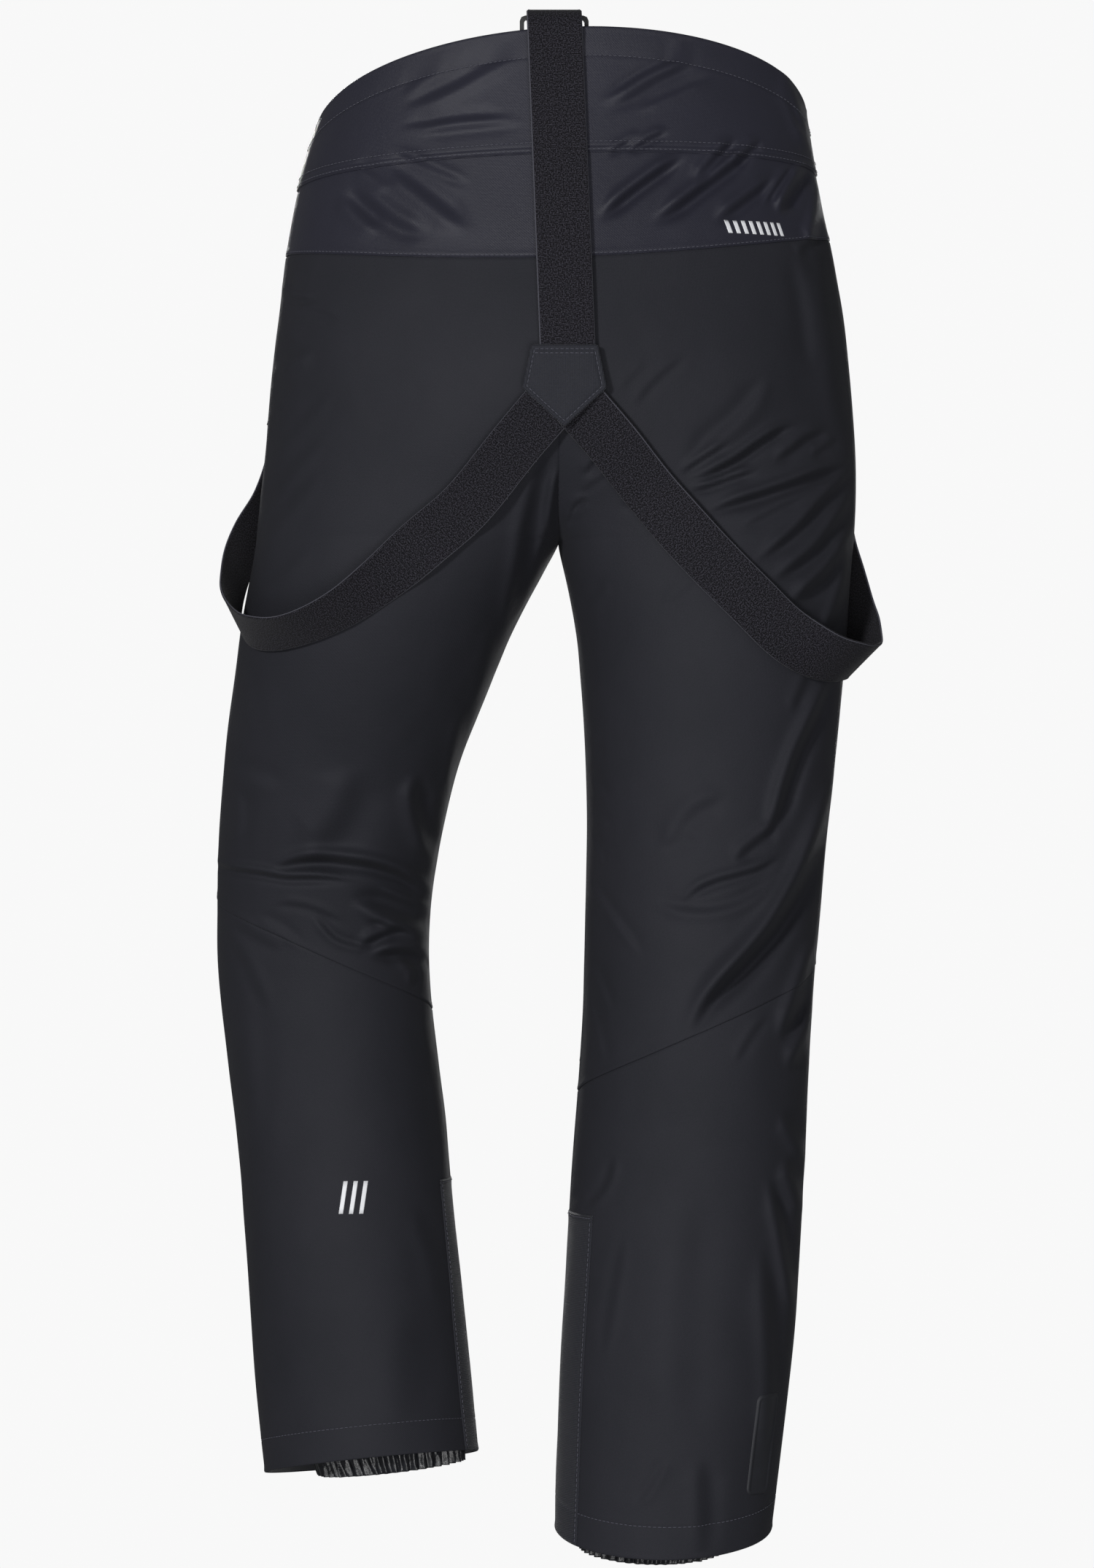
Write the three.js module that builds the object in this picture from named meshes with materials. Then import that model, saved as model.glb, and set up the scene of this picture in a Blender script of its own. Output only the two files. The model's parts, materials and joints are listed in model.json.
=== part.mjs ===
// Men's ski pants with clip-on suspenders, filled out as if worn, in a walking stance.
// Millimetres, +Z up. The origin is the middle of the waist, at the seam under the waistband.
// The front faces -Y and the wearer's left is +X. The left leg is forward with its knee slightly bent.
import * as THREE from "three";

// ---------------------------------------------------------------- driving dimensions

const FABRIC = 2.4; // padded shell, lining and insulation together
const SEAM_GAP = 0.8; // half the clear gap left between two panels at a seam
const CROTCH = -271; // height of the crotch
const RISE_SPAN = 130; // height above the crotch at which the rise reaches full depth
const WEBBING = 40; // width of the suspender elastic
const WEBBING_THICK = 2;
const CENTRE_GAP = 0.0015; // share of the way round that keeps panels apart at the centre and the inseam
const SIDE_GAP = 0.002; // the same at the side seams
const WAIST_TILT = -0.03; // the hips are a little lower on the wearer's left
const KNEE_ZONE = 58; // half the height of the stretch of fabric that folds at a knee
const ZIP_WIDTH = 6;
const CLIP_THICK = 3.6;

// height, middle across, half width, depth to the front, depth to the back
const TORSO = [
  [100, -8, 168, 90, 92],
  [50, -4, 178, 94, 98],
  [0, 0, 190, 99, 106],
  [-70, 0, 204, 104, 119],
  [-150, 0, 213.5, 108, 129],
  [CROTCH, 0, 221, 106, 120],
];

// height, middle outwards, middle front to back, half width, half depth
const LEGS = {
  left: [
    [CROTCH, 113, 5, 113, 112],
    [-355, 141, -25, 98, 104],
    [-464, 168, -72, 85, 93],
    [-575, 178, -108, 80, 87],
    [-713, 164, -96, 80, 82],
    [-876, 149, -70, 79.5, 79],
    [-980, 138.5, -54, 80, 77],
  ],
  right: [
    [CROTCH, 107.5, 5, 107.5, 112],
    [-355, 113, 4, 98, 105],
    [-517, 108, 18, 87, 93],
    [-677, 98.5, 36, 84, 88],
    [-837, 88.5, 53, 84, 83],
    [-1010, 75, 66, 77, 77],
  ],
};

const SIDES = ["left", "right"];
const OUTWARDS = { left: 1, right: -1 };
const KNEE_HEIGHT = { left: -545, right: -560 };
// each hem: middle height, rise towards the inseam, rise towards the back
const HEMS = { left: [-959, 8, 12], right: [-991.5, 0, -13] };

// ---------------------------------------------------------------- materials

const SHELL = { color: 0x2e3036, roughness: 0.78 };
const YOKE_SHELL = { color: 0x34353e, roughness: 0.76 };
const LINING = { color: 0x26272c, roughness: 0.9 };
const ELASTIC = { color: 0x1d1d22, roughness: 0.85 };
const PATCH = { color: 0x35363e, roughness: 0.82 };
const GAITER = { color: 0x16171a, roughness: 0.4 };
const PLASTIC = { color: 0x121214, roughness: 0.38 };
const METAL = { color: 0x2a2b2e, roughness: 0.35, metalness: 0.9 };
const REFLECTIVE = { color: 0xe4e5e8, roughness: 0.35 };

const pants = new THREE.Group();

function addPiece(name, geometry, look) {
  const mesh = new THREE.Mesh(geometry, new THREE.MeshStandardMaterial(look));
  mesh.name = name;
  pants.add(mesh);
  return mesh;
}

// ---------------------------------------------------------------- the shape of the garment

// A smooth curve through rows of [height, values...], listed from the top down.
function profile(rows) {
  const columns = rows[0].length - 1;
  const slopes = rows.map((row, i) => {
    const above = rows[Math.max(i - 1, 0)];
    const below = rows[Math.min(i + 1, rows.length - 1)];
    const span = above[0] - below[0];
    return Array.from({ length: columns }, (_, c) => (above[c + 1] - below[c + 1]) / span);
  });
  return (height) => {
    const inside = Math.min(Math.max(height, rows[rows.length - 1][0]), rows[0][0]);
    let i = 0;
    while (i < rows.length - 2 && inside < rows[i + 1][0]) i += 1;
    const span = rows[i][0] - rows[i + 1][0];
    const t = (rows[i][0] - inside) / span;
    const start = 2 * t ** 3 - 3 * t ** 2 + 1;
    const leave = -(t ** 3 - 2 * t ** 2 + t) * span;
    const arrive = -(t ** 3 - t ** 2) * span;
    return Array.from({ length: columns }, (_, c) => (
      start * rows[i][c + 1] + (1 - start) * rows[i + 1][c + 1]
      + leave * slopes[i][c] + arrive * slopes[i + 1][c]
    ));
  };
}

const torsoAt = profile(TORSO);
const legAt = { left: profile(LEGS.left), right: profile(LEGS.right) };

function smoothstep(low, high, value) {
  return THREE.MathUtils.smoothstep(value, low, high);
}

// One leg's cloth: u goes from the front inner edge (0) round the outside (0.5) to the back inner edge (1).
// Below the crotch the two edges meet at the inseam. Above it they part along the rise.
function clothPoint(side, u, height) {
  const out = OUTWARDS[side];
  const [middleX, middleY, legWidth, legDepth] = legAt[side](height);
  const legX = out * (middleX - legWidth * Math.cos(2 * Math.PI * u));
  const legY = middleY - legDepth * Math.sin(2 * Math.PI * u);
  const [torsoMiddle, torsoWidth, front, back] = torsoAt(height);
  const torsoX = torsoMiddle + out * torsoWidth * Math.sin(Math.PI * u);
  const torsoY = -(u < 0.5 ? front : back) * Math.cos(Math.PI * u);
  const climb = THREE.MathUtils.clamp((height - CROTCH) / RISE_SPAN, 0, 1);
  const atRise = Math.sqrt(1 - (1 - climb) ** 2);
  const atOutside = smoothstep(CROTCH - 70, CROTCH + 80, height);
  const nearRise = Math.abs(2 * u - 1) ** 4;
  const share = atOutside + (atRise - atOutside) * nearRise;
  return new THREE.Vector3(
    legX + (torsoX - legX) * share,
    legY + (torsoY - legY) * share,
    height,
  );
}

function clothNormal(side, u, height) {
  const step = 0.004;
  const before = clothPoint(side, Math.max(u - step, 0), height);
  const after = clothPoint(side, Math.min(u + step, 1), height);
  const around = after.sub(before);
  const up = clothPoint(side, u, height + 3).sub(clothPoint(side, u, height - 3));
  const normal = around.cross(up).normalize();
  return side === "left" ? normal : normal.negate();
}

function offCloth(side, u, height, distance) {
  return clothPoint(side, u, height).addScaledVector(clothNormal(side, u, height), distance);
}

// How far round to the back (1) or the front (-1) a place is, from the side seam (0).
function backness(u) {
  return -Math.cos(Math.PI * u);
}

function tilt(side, u) {
  return WAIST_TILT * OUTWARDS[side] * 190 * Math.sin(Math.PI * u);
}

function topEdge(side, u) {
  const back = backness(u);
  return 44 + (back > 0 ? 54 : 12) * back + tilt(side, u);
}

function waistSeam(side, u) {
  return -4 + (backness(u) > 0 ? 11 : 4) * backness(u) + tilt(side, u);
}

function yokeSeam(side, u) {
  return -54 - 17 * backness(u) ** 2 + tilt(side, u);
}

// A sloping edge round a leg, from its middle height and how much higher it is at the inseam and at the back.
function ringEdge([middle, inner, rear], u) {
  return middle + inner * Math.cos(2 * Math.PI * u) - rear * Math.sin(2 * Math.PI * u);
}

function hemEdge(side, u) {
  return ringEdge(HEMS[side], u);
}

// ---------------------------------------------------------------- solids

// A closed skin between an outer and an inner grid of points. A grid is a list of rows of points.
function skin(outer, inner, closedRound = false) {
  const rows = outer.length;
  const columns = outer[0].length;
  const points = [...outer.flat(), ...inner.flat()];
  const half = rows * columns;
  const at = (layer, row, column) => layer * half + row * columns + (column % columns);
  const faces = [];
  const quad = (a, b, c, d) => faces.push(a, b, c, a, c, d);
  const lastColumn = closedRound ? columns : columns - 1;
  for (let row = 0; row < rows - 1; row += 1) {
    for (let column = 0; column < lastColumn; column += 1) {
      quad(at(0, row, column), at(0, row, column + 1), at(0, row + 1, column + 1), at(0, row + 1, column));
      quad(at(1, row, column), at(1, row + 1, column), at(1, row + 1, column + 1), at(1, row, column + 1));
    }
    if (!closedRound) {
      const end = columns - 1;
      quad(at(0, row, 0), at(0, row + 1, 0), at(1, row + 1, 0), at(1, row, 0));
      quad(at(0, row, end), at(1, row, end), at(1, row + 1, end), at(0, row + 1, end));
    }
  }
  for (let column = 0; column < lastColumn; column += 1) {
    const top = rows - 1;
    quad(at(0, 0, column), at(1, 0, column), at(1, 0, column + 1), at(0, 0, column + 1));
    quad(at(0, top, column), at(0, top, column + 1), at(1, top, column + 1), at(1, top, column));
  }
  let volume = 0;
  for (let i = 0; i < faces.length; i += 3) {
    const [a, b, c] = [points[faces[i]], points[faces[i + 1]], points[faces[i + 2]]];
    volume += a.dot(new THREE.Vector3().crossVectors(b, c)) / 6;
  }
  if (volume < 0) faces.reverse();
  const geometry = new THREE.BufferGeometry();
  geometry.setAttribute("position", new THREE.Float32BufferAttribute(points.flatMap((p) => p.toArray()), 3));
  geometry.setIndex(faces);
  geometry.computeVertexNormals();
  return geometry;
}

function steps(from, to, count) {
  return Array.from({ length: count + 1 }, (_, i) => from + ((to - from) * i) / count);
}

// A cloth panel: places round, then for each place round its heights from the lower to the upper edge.
// The panel lies from outside distance `outer` to `outer - thick`.
function panel(places, heightsAt, outer = 0, thick = FABRIC) {
  const columns = places.map(({ side, u }) => heightsAt(side, u).map((height) => ({ side, u, height })));
  const rows = columns[0].map((_, row) => columns.map((column) => column[row]));
  const grid = (distance) => rows.map((row) => row.map(
    ({ side, u, height }) => offCloth(side, u, height, distance),
  ));
  return skin(grid(outer), grid(outer - thick));
}

function aroundLeg(side, from, to, count) {
  return steps(from, to, count).map((u) => ({ side, u }));
}

// From the wearer's left side seam over the centre back to the right side seam.
function acrossBack(count) {
  return steps(SIDE_GAP - 0.5, 0.5 - SIDE_GAP, count).map((reach) => (
    { side: reach < 0 ? "left" : "right", u: 1 - Math.abs(reach) }
  ));
}

function between(low, high, count) {
  return (side, u) => steps(low(side, u) + SEAM_GAP, high(side, u) - SEAM_GAP, count);
}

// A flat outline with round or square holes, made to a thickness, lying in its own XZ plane.
function plate(outline, holes, thick) {
  const shape = new THREE.Shape(outline.map(([x, z]) => new THREE.Vector2(x, z)));
  holes.forEach((hole) => shape.holes.push(new THREE.Path(hole.map(([x, z]) => new THREE.Vector2(x, z)))));
  const geometry = new THREE.ExtrudeGeometry(shape, { depth: thick, bevelEnabled: false });
  geometry.translate(0, 0, -thick / 2);
  geometry.rotateX(Math.PI / 2);
  return geometry;
}

function roundedRectangle(width, height, corner, middleX = 0, middleZ = 0) {
  const points = [];
  const turns = [[1, 1, 0], [-1, 1, 90], [-1, -1, 180], [1, -1, 270]];
  turns.forEach(([signX, signZ, start]) => {
    [0, 45, 90].forEach((extra) => {
      const angle = THREE.MathUtils.degToRad(start + extra);
      points.push([
        middleX + signX * (width / 2 - corner) + corner * Math.cos(angle),
        middleZ + signZ * (height / 2 - corner) + corner * Math.sin(angle),
      ]);
    });
  });
  return points;
}

// ---------------------------------------------------------------- waistband and yoke

const FACING = 1.6; // brushed facing inside the raised back waistband
const FACING_GAP = 0.6;

function makeWaist() {
  const places = acrossBack(16);
  addPiece("back_waistband", panel(places, between(waistSeam, topEdge, 3)), YOKE_SHELL);
  const facingTop = (side, u) => topEdge(side, u) - 4;
  const facingFoot = (side, u) => waistSeam(side, u) + 6;
  const facing = panel(places, between(facingFoot, facingTop, 2), -FABRIC - FACING_GAP, FACING);
  addPiece("back_waistband_lining", facing, LINING);
  addPiece("back_yoke", panel(places, between(yokeSeam, waistSeam, 3)), YOKE_SHELL);
  SIDES.forEach((side) => {
    const front = aroundLeg(side, CENTRE_GAP, 0.5 - SIDE_GAP, 6);
    addPiece(`front_waistband_${side}`, panel(front, between(waistSeam, topEdge, 2)), YOKE_SHELL);
  });
}

// ---------------------------------------------------------------- legs

const RISE_ROWS = [-130, -185, -225, -255, CROTCH, -305, -360, -425];

function thighRows(top) {
  return (side, u) => [
    KNEE_HEIGHT[side] + KNEE_ZONE + SEAM_GAP,
    ...RISE_ROWS.slice().reverse(),
    top(side, u) - SEAM_GAP,
  ];
}

function kneeTop(side) {
  return KNEE_HEIGHT[side] + KNEE_ZONE;
}

function kneeFoot(side) {
  return KNEE_HEIGHT[side] - KNEE_ZONE;
}

function makeLeg(side) {
  const back = aroundLeg(side, 0.5 + SIDE_GAP, 1 - CENTRE_GAP, 8);
  const front = aroundLeg(side, CENTRE_GAP, 0.5 - SIDE_GAP, 8);
  addPiece(`seat_panel_${side}`, panel(back, thighRows(yokeSeam)), SHELL);
  addPiece(`front_panel_${side}`, panel(front, thighRows(waistSeam)), SHELL);
  addPiece(`knee_back_${side}`, panel(back, between(kneeFoot, kneeTop, 2)), SHELL);
  addPiece(`knee_front_${side}`, panel(front, between(kneeFoot, kneeTop, 2)), SHELL);
  addPiece(`calf_panel_${side}`, panel(back, between(hemEdge, kneeFoot, 4)), SHELL);
  addPiece(`shin_panel_${side}`, panel(front, between(hemEdge, kneeFoot, 4)), SHELL);
}

const KICK_PATCH = { belowKnee: 202, fromTurn: -0.1, toTurn: 0.15, lift: 3, thick: 1.3 };

// The tougher patch sewn over the inner ankle. It crosses the inseam, so its places run from back to front.
function makeKickPatch(side) {
  const { belowKnee, fromTurn, toTurn, lift, thick } = KICK_PATCH;
  const top = KNEE_HEIGHT[side] - belowKnee;
  const patchTop = () => top;
  const patchFoot = (where, u) => hemEdge(where, u) + 1;
  const places = steps(fromTurn, toTurn, 5).map((turn) => ({ side, u: (turn + 1) % 1 }));
  const patch = panel(places, between(patchFoot, patchTop, 4), lift, thick);
  addPiece(`kick_patch_${side}`, patch, PATCH);
}

// The foot of each snow gaiter, in the same form as the hems.
const GAITER_FEET = { left: [-963, 6, 2], right: [-1006, 1, -5] };
const GAITER_LENGTH = 125;
const GAITER_TAPE = 12;
const GAITER_CLEARANCE = 8; // between the gaiter's top and the trouser leg
// how far the foot of a gaiter is drawn in, and how far it shifts towards the inseam
const GAITER_DRAW = { across: 19, deep: 16 };
const GAITER_SHIFT = { left: 15, right: 8 };
const GAITER_CLOTH = 1.2;
const TAPE_THICK = 2;

// The gaiter hangs inside the hem, sewn in at the top and drawn in by an elastic tape at its foot.
function gaiterRing(side, height, share, inset) {
  const [middleX, middleY, width, depth] = legAt[side](height);
  const inwards = GAITER_SHIFT[side] * share;
  const across = width - GAITER_CLEARANCE - GAITER_DRAW.across * share - inset;
  const deep = depth - GAITER_CLEARANCE - GAITER_DRAW.deep * share - inset;
  return steps(0, 2 * Math.PI, 16).slice(0, -1).map((turn) => new THREE.Vector3(
    OUTWARDS[side] * (middleX - inwards - across * Math.cos(turn)),
    middleY - deep * Math.sin(turn),
    height + ringEdge(GAITER_FEET[side], turn / (2 * Math.PI)) - GAITER_FEET[side][0],
  ));
}

function makeGaiter(side) {
  const foot = GAITER_FEET[side][0];
  const top = foot + GAITER_LENGTH;
  const tube = (from, to, count, thick) => {
    const rows = (inset) => steps(from, to, count).map(
      (height) => gaiterRing(side, height, (top - height) / GAITER_LENGTH, inset),
    );
    return skin(rows(0), rows(thick), true);
  };
  addPiece(`snow_gaiter_${side}`, tube(foot + GAITER_TAPE + 0.5, top, 4, GAITER_CLOTH), GAITER);
  addPiece(`gaiter_elastic_${side}`, tube(foot, foot + GAITER_TAPE, 1, TAPE_THICK), ELASTIC);
  const front = gaiterRing(side, foot + GAITER_TAPE / 2, 1, 0)[4];
  const hook = plate([[-5, -5], [5, -5], [5, 5], [2, 5], [2, -1], [-2, -1], [-2, 5], [-5, 5]], [], 2.4);
  const bootHook = addPiece(`boot_hook_${side}`, hook, METAL);
  bootHook.position.set(front.x, front.y - 4, front.z);
}

// ---------------------------------------------------------------- marks on the calves and the yoke

const MARK_LIFT = 1.4;
const MARK_THICK = 0.5;

function makeMarks() {
  const reflector = aroundLeg("right", 0.57, 0.625, 3);
  addPiece("reflector_patch", panel(reflector, () => steps(-966, -894, 3), 1.5, 1.1), PLASTIC);
  const bar = aroundLeg("right", 0.684, 0.807, 3);
  addPiece("reflective_bar", panel(bar, () => steps(-52, -41, 1), MARK_LIFT, MARK_THICK), REFLECTIVE);
  const mark = aroundLeg("left", 0.738, 0.792, 2);
  addPiece("reflective_mark", panel(mark, () => steps(-770, -744, 2), MARK_LIFT, MARK_THICK), REFLECTIVE);
}

// ---------------------------------------------------------------- zips, fly and waist closure

// A mesh whose own +Z runs along `along` and whose own -Y faces `facing`.
function place(mesh, middle, along, facing) {
  const up = along.clone().normalize();
  const back = facing.clone().negate().addScaledVector(up, facing.dot(up)).normalize();
  const across = new THREE.Vector3().crossVectors(back, up);
  mesh.quaternion.setFromRotationMatrix(new THREE.Matrix4().makeBasis(across, back, up));
  mesh.position.copy(middle);
  return mesh;
}

const TEETH_THICK = 1.4;
const SLIDER_BELOW_TOP = 12;
const SLIDER_LIFT = 2.1; // from the middle of the teeth to the middle of the slider, and on to the pull

// A straight zip from its top to its foot: teeth, a slider over the teeth and a pull hanging from it.
function makeZip(names, top, foot, facing) {
  const along = top.clone().sub(foot);
  const length = along.length();
  const middle = top.clone().add(foot).multiplyScalar(0.5);
  const normal = facing.clone().addScaledVector(along, -facing.dot(along) / length ** 2).normalize();
  const teeth = new THREE.BoxGeometry(ZIP_WIDTH, TEETH_THICK, length);
  place(addPiece(names.teeth, teeth, PLASTIC), middle, along, normal);
  const sliderBody = plate([[-4.5, 8], [4.5, 8], [3.4, -8], [-3.4, -8]], [], 2);
  const start = top.clone().addScaledVector(along, -SLIDER_BELOW_TOP / length)
    .addScaledVector(normal, SLIDER_LIFT);
  place(addPiece(names.slider, sliderBody, METAL), start, along, normal);
  const pull = plate(roundedRectangle(6, 26, 2, 0, -12.4), [], 1.4);
  const pivot = start.clone().addScaledVector(normal, SLIDER_LIFT).addScaledVector(along, 3 / length);
  place(addPiece(names.pull, pull, PLASTIC), pivot, along, normal);
}

const FLY = { top: -14, foot: -152, lift: 2.9 };

function makeFly() {
  const front = new THREE.Vector3(0, -1, 0);
  const onFront = (height) => new THREE.Vector3(0, -torsoAt(height)[2] - FLY.lift, height);
  const top = onFront(FLY.top);
  const foot = onFront(FLY.foot);
  makeZip({ teeth: "fly_zip_teeth", slider: "fly_zip_slider", pull: "fly_zip_pull" }, top, foot, front);
  const guard = steps(-1, 1, 4).map((reach) => ({
    side: reach < 0 ? "left" : "right",
    u: Math.abs(reach) * 0.038,
  }));
  addPiece("fly_guard", panel(guard, () => steps(-134, -12, 3), -FABRIC - 1.8, 1.6), LINING);
}

const TAB_ROOT = 26; // where the waist tab is sewn on, from the centre front
const TAB_TIP = -30;
const TAB_HEIGHT = 32;
const TAB_MIDDLE = 14; // its height above the waist seam

function makeWaistClosure() {
  const waistFace = -torsoAt(0)[2] - 0.4;
  const outline = roundedRectangle(TAB_ROOT - TAB_TIP, TAB_HEIGHT, 6, (TAB_ROOT + TAB_TIP) / 2, TAB_MIDDLE);
  const tab = plate(outline, [], 2);
  addPiece("waist_tab", tab, YOKE_SHELL).position.y = waistFace - 2.8;
  const snap = (name, radius, thick, y, height) => {
    const disc = addPiece(name, new THREE.CylinderGeometry(radius, radius, thick, 16), METAL);
    disc.position.set(TAB_TIP + 14, y, height);
  };
  [["upper", 8], ["lower", -8]].forEach(([which, rise]) => {
    snap(`snap_cap_${which}`, 6, 1.6, waistFace - 5, TAB_MIDDLE + rise);
    snap(`snap_stud_${which}`, 4.5, 1, waistFace - 0.9, TAB_MIDDLE + rise);
  });
}

const POCKET_LIFT = 4.4; // from the cloth to the middle of the pocket zip

function makePocket(side) {
  const top = offCloth(side, 0.34, -22, POCKET_LIFT);
  const foot = offCloth(side, 0.43, -178, POCKET_LIFT);
  const facing = clothNormal(side, 0.385, -100);
  makeZip(
    { teeth: `pocket_zip_${side}`, slider: `pocket_slider_${side}`, pull: `pocket_pull_${side}` },
    top, foot, facing,
  );
  const bag = aroundLeg(side, 0.24, 0.44, 4);
  addPiece(`pocket_bag_${side}`, panel(bag, () => steps(-235, -25, 3), -FABRIC - 3, 2), LINING);
}

// ---------------------------------------------------------------- suspenders

// A flat strap through hand-placed stations: each is a place [x, y, z], then the way its face points there.
function strapFrames(stations, count) {
  const through = (first) => new THREE.CatmullRomCurve3(
    stations.map((station) => new THREE.Vector3(...station.slice(first, first + 3))), false, "centripetal",
  );
  const curve = through(0);
  const faces = through(3);
  return steps(0, 1, count).map((t) => {
    const run = curve.getTangent(t);
    const face = faces.getPoint(t);
    face.addScaledVector(run, -face.dot(run)).normalize();
    return { point: curve.getPoint(t), run, face, across: new THREE.Vector3().crossVectors(run, face) };
  });
}

function strap(frames, width, thick) {
  const layer = (lift) => frames.map(({ point, face, across }) => [-1, 1].map(
    (edge) => point.clone().addScaledVector(across, (edge * width) / 2).addScaledVector(face, lift),
  ));
  return skin(layer(thick / 2), layer(-thick / 2));
}

// The straps lie on the seat, hang in loops beside the thighs and go up to the front waistband.
const FRONT_STRAPS = {
  left: [
    [11.3, 128.7, -183.5, -0.07, 0.96, -0.29],
    [30.4, 122.4, -205.5, -0.08, 0.93, -0.37],
    [67.6, 108.5, -250.3, -0.14, 0.96, -0.23],
    [97, 110, -276, -0.1, 0.97, -0.22],
    [130, 108, -304, -0.22, 0.84, -0.5],
    [160, 105, -325, -0.12, 0.66, -0.74],
    [191, 92, -338, 0.12, 0.5, -0.86],
    [217, 70, -340, 0.52, 0.38, -0.76],
    [233, 46, -334, 0.84, 0.15, -0.52],
    [241, 24, -321, 0.92, -0.08, -0.38],
    [242, 4, -306, 0.93, -0.26, -0.25],
    [239, -15, -287, 0.89, -0.44, -0.12],
    [232, -29, -268, 0.84, -0.54, 0],
    [218, -42, -243, 0.82, -0.57, 0.03],
    [207, -52, -212, 0.77, -0.63, 0.05],
    [201.2, -54.8, -179.6, 0.71, -0.7, 0.04],
  ],
  right: [
    [-19.4, 129.2, -183.3, 0.04, 0.97, -0.25],
    [-38.5, 123.1, -204.9, 0.04, 0.94, -0.34],
    [-66.5, 111.5, -239.7, 0.07, 0.95, -0.3],
    [-103.7, 113.5, -282, 0.02, 0.99, 0.11],
    [-138.4, 112.5, -317, -0.2, 0.97, 0.01],
    [-165, 104, -342, -0.42, 0.86, -0.25],
    [-191, 90, -357, -0.37, 0.74, -0.55],
    [-210, 70.5, -361.5, -0.52, 0.49, -0.7],
    [-220, 48, -361, -0.64, 0.2, -0.74],
    [-225.5, 26, -357, -0.74, -0.05, -0.66],
    [-226.5, 5, -343, -0.82, -0.28, -0.45],
    [-223, -15, -327, -0.8, -0.5, -0.25],
    [-218.5, -30, -302, -0.84, -0.53, -0.03],
    [-212, -43, -274, -0.86, -0.5, 0.03],
    [-207.5, -50, -246, -0.85, -0.52, 0.05],
    [-204, -53, -214, -0.8, -0.6, 0.05],
    [-201.2, -54.8, -179.6, -0.71, -0.7, 0.04],
  ],
};

// The straight end of a front strap, from low on the thigh to the clip: [u, height, distance off the cloth].
const STRAIGHT_FOOT = [0.30, -135, 9.5];
const STRAIGHT_TOP = [0.225, -34, 9.5];

function straightEnd(side) {
  const top = offCloth(side, ...STRAIGHT_TOP);
  const foot = offCloth(side, ...STRAIGHT_FOOT);
  const up = top.clone().sub(foot).normalize();
  const face = clothNormal(side, 0.26, -80);
  face.addScaledVector(up, -face.dot(up)).normalize();
  return { top, foot, up, face };
}

function makeFrontStrap(side) {
  const { top, foot, up, face } = straightEnd(side);
  const last = [...foot.toArray(), ...face.toArray()];
  const frames = strapFrames([...FRONT_STRAPS[side], last], 34).slice(0, -1);
  const across = new THREE.Vector3().crossVectors(up, face);
  const straight = [foot, top].map((point) => ({ point, run: up, face, across }));
  addPiece(`front_strap_${side}`, strap([...frames, ...straight], WEBBING, WEBBING_THICK), ELASTIC);
}

// Fittings on the straight end of a front strap, in its own frame: +Z up the strap, -Y away from the body.
function makeStrapFittings(side) {
  const { top, foot, up, face } = straightEnd(side);
  const along = (mesh, start, distance) => place(mesh, start.clone().addScaledVector(up, distance), up, face);
  const sleeve = plate(roundedRectangle(WEBBING + 10, 9, 2), [roundedRectangle(WEBBING + 2, 3.6, 0.8)], 16);
  sleeve.rotateX(Math.PI / 2);
  along(addPiece(`strap_adjuster_${side}`, sleeve, PLASTIC), foot, 50);
  const hook = [
    [-24, 1.5], [24, 1.5], [24, 13], [16, 19], [16, 36], [12, 40], [-13, 40], [-13, 32.5],
    [-10.2, 32.5], [-10.2, 36], [12, 36], [12, 20], [-12, 20], [-24, 13],
  ];
  const clip = plate(hook, [roundedRectangle(WEBBING + 2, 4, 1, 0, 7)], CLIP_THICK);
  along(addPiece(`strap_clip_${side}`, clip, PLASTIC), top, 0);
  const gate = plate([[-9.8, 20.4], [-7.4, 20.4], [-7.4, 35.6], [-9.8, 35.6]], [], 2.6);
  along(addPiece(`clip_gate_${side}`, gate, METAL), top, 0);
}

// A narrow strip that follows a path of [y, z] points, with its width along X.
function strip(path, middleX, width, thick) {
  const curve = new THREE.CatmullRomCurve3(
    path.map(([y, z]) => new THREE.Vector3(middleX(z), y, z)), false, "centripetal",
  );
  const frames = curve.getPoints(path.length * 2 - 2).map((point, i, all) => {
    const run = all[Math.min(i + 1, all.length - 1)].clone().sub(all[Math.max(i - 1, 0)]);
    const face = new THREE.Vector3(0, run.z, -run.y).normalize();
    return { point, face, across: new THREE.Vector3(1, 0, 0) };
  });
  return strap(frames, width, thick);
}

// A webbing loop sewn to the front waistband. It passes through the hook of the clip.
function makeStrapAnchor(side) {
  const { top, up, face } = straightEnd(side);
  const loop = [
    [6.3, 60], [6, 52], [4.2, 45], [3.4, 39], [2.4, 35], [0, 33.6],
    [-2.4, 35], [-3.4, 39], [-2.4, 46], [3, 53.5], [4.2, 60],
  ];
  const anchor = addPiece(`strap_anchor_${side}`, strip(loop, () => 6, 8, 1.4), ELASTIC);
  place(anchor, top, up, face);
}

const RING = { width: 50, height: 27, bar: 3.2, y: 83.6, top: 107.1 };
const BACK_STRAP_LIFT = 4.6; // from the cloth of the back to the middle of the strap

// The middle of the back strap leans over a little on its way down.
function strapMiddle(height) {
  return 0.039 * height - 0.8;
}

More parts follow.
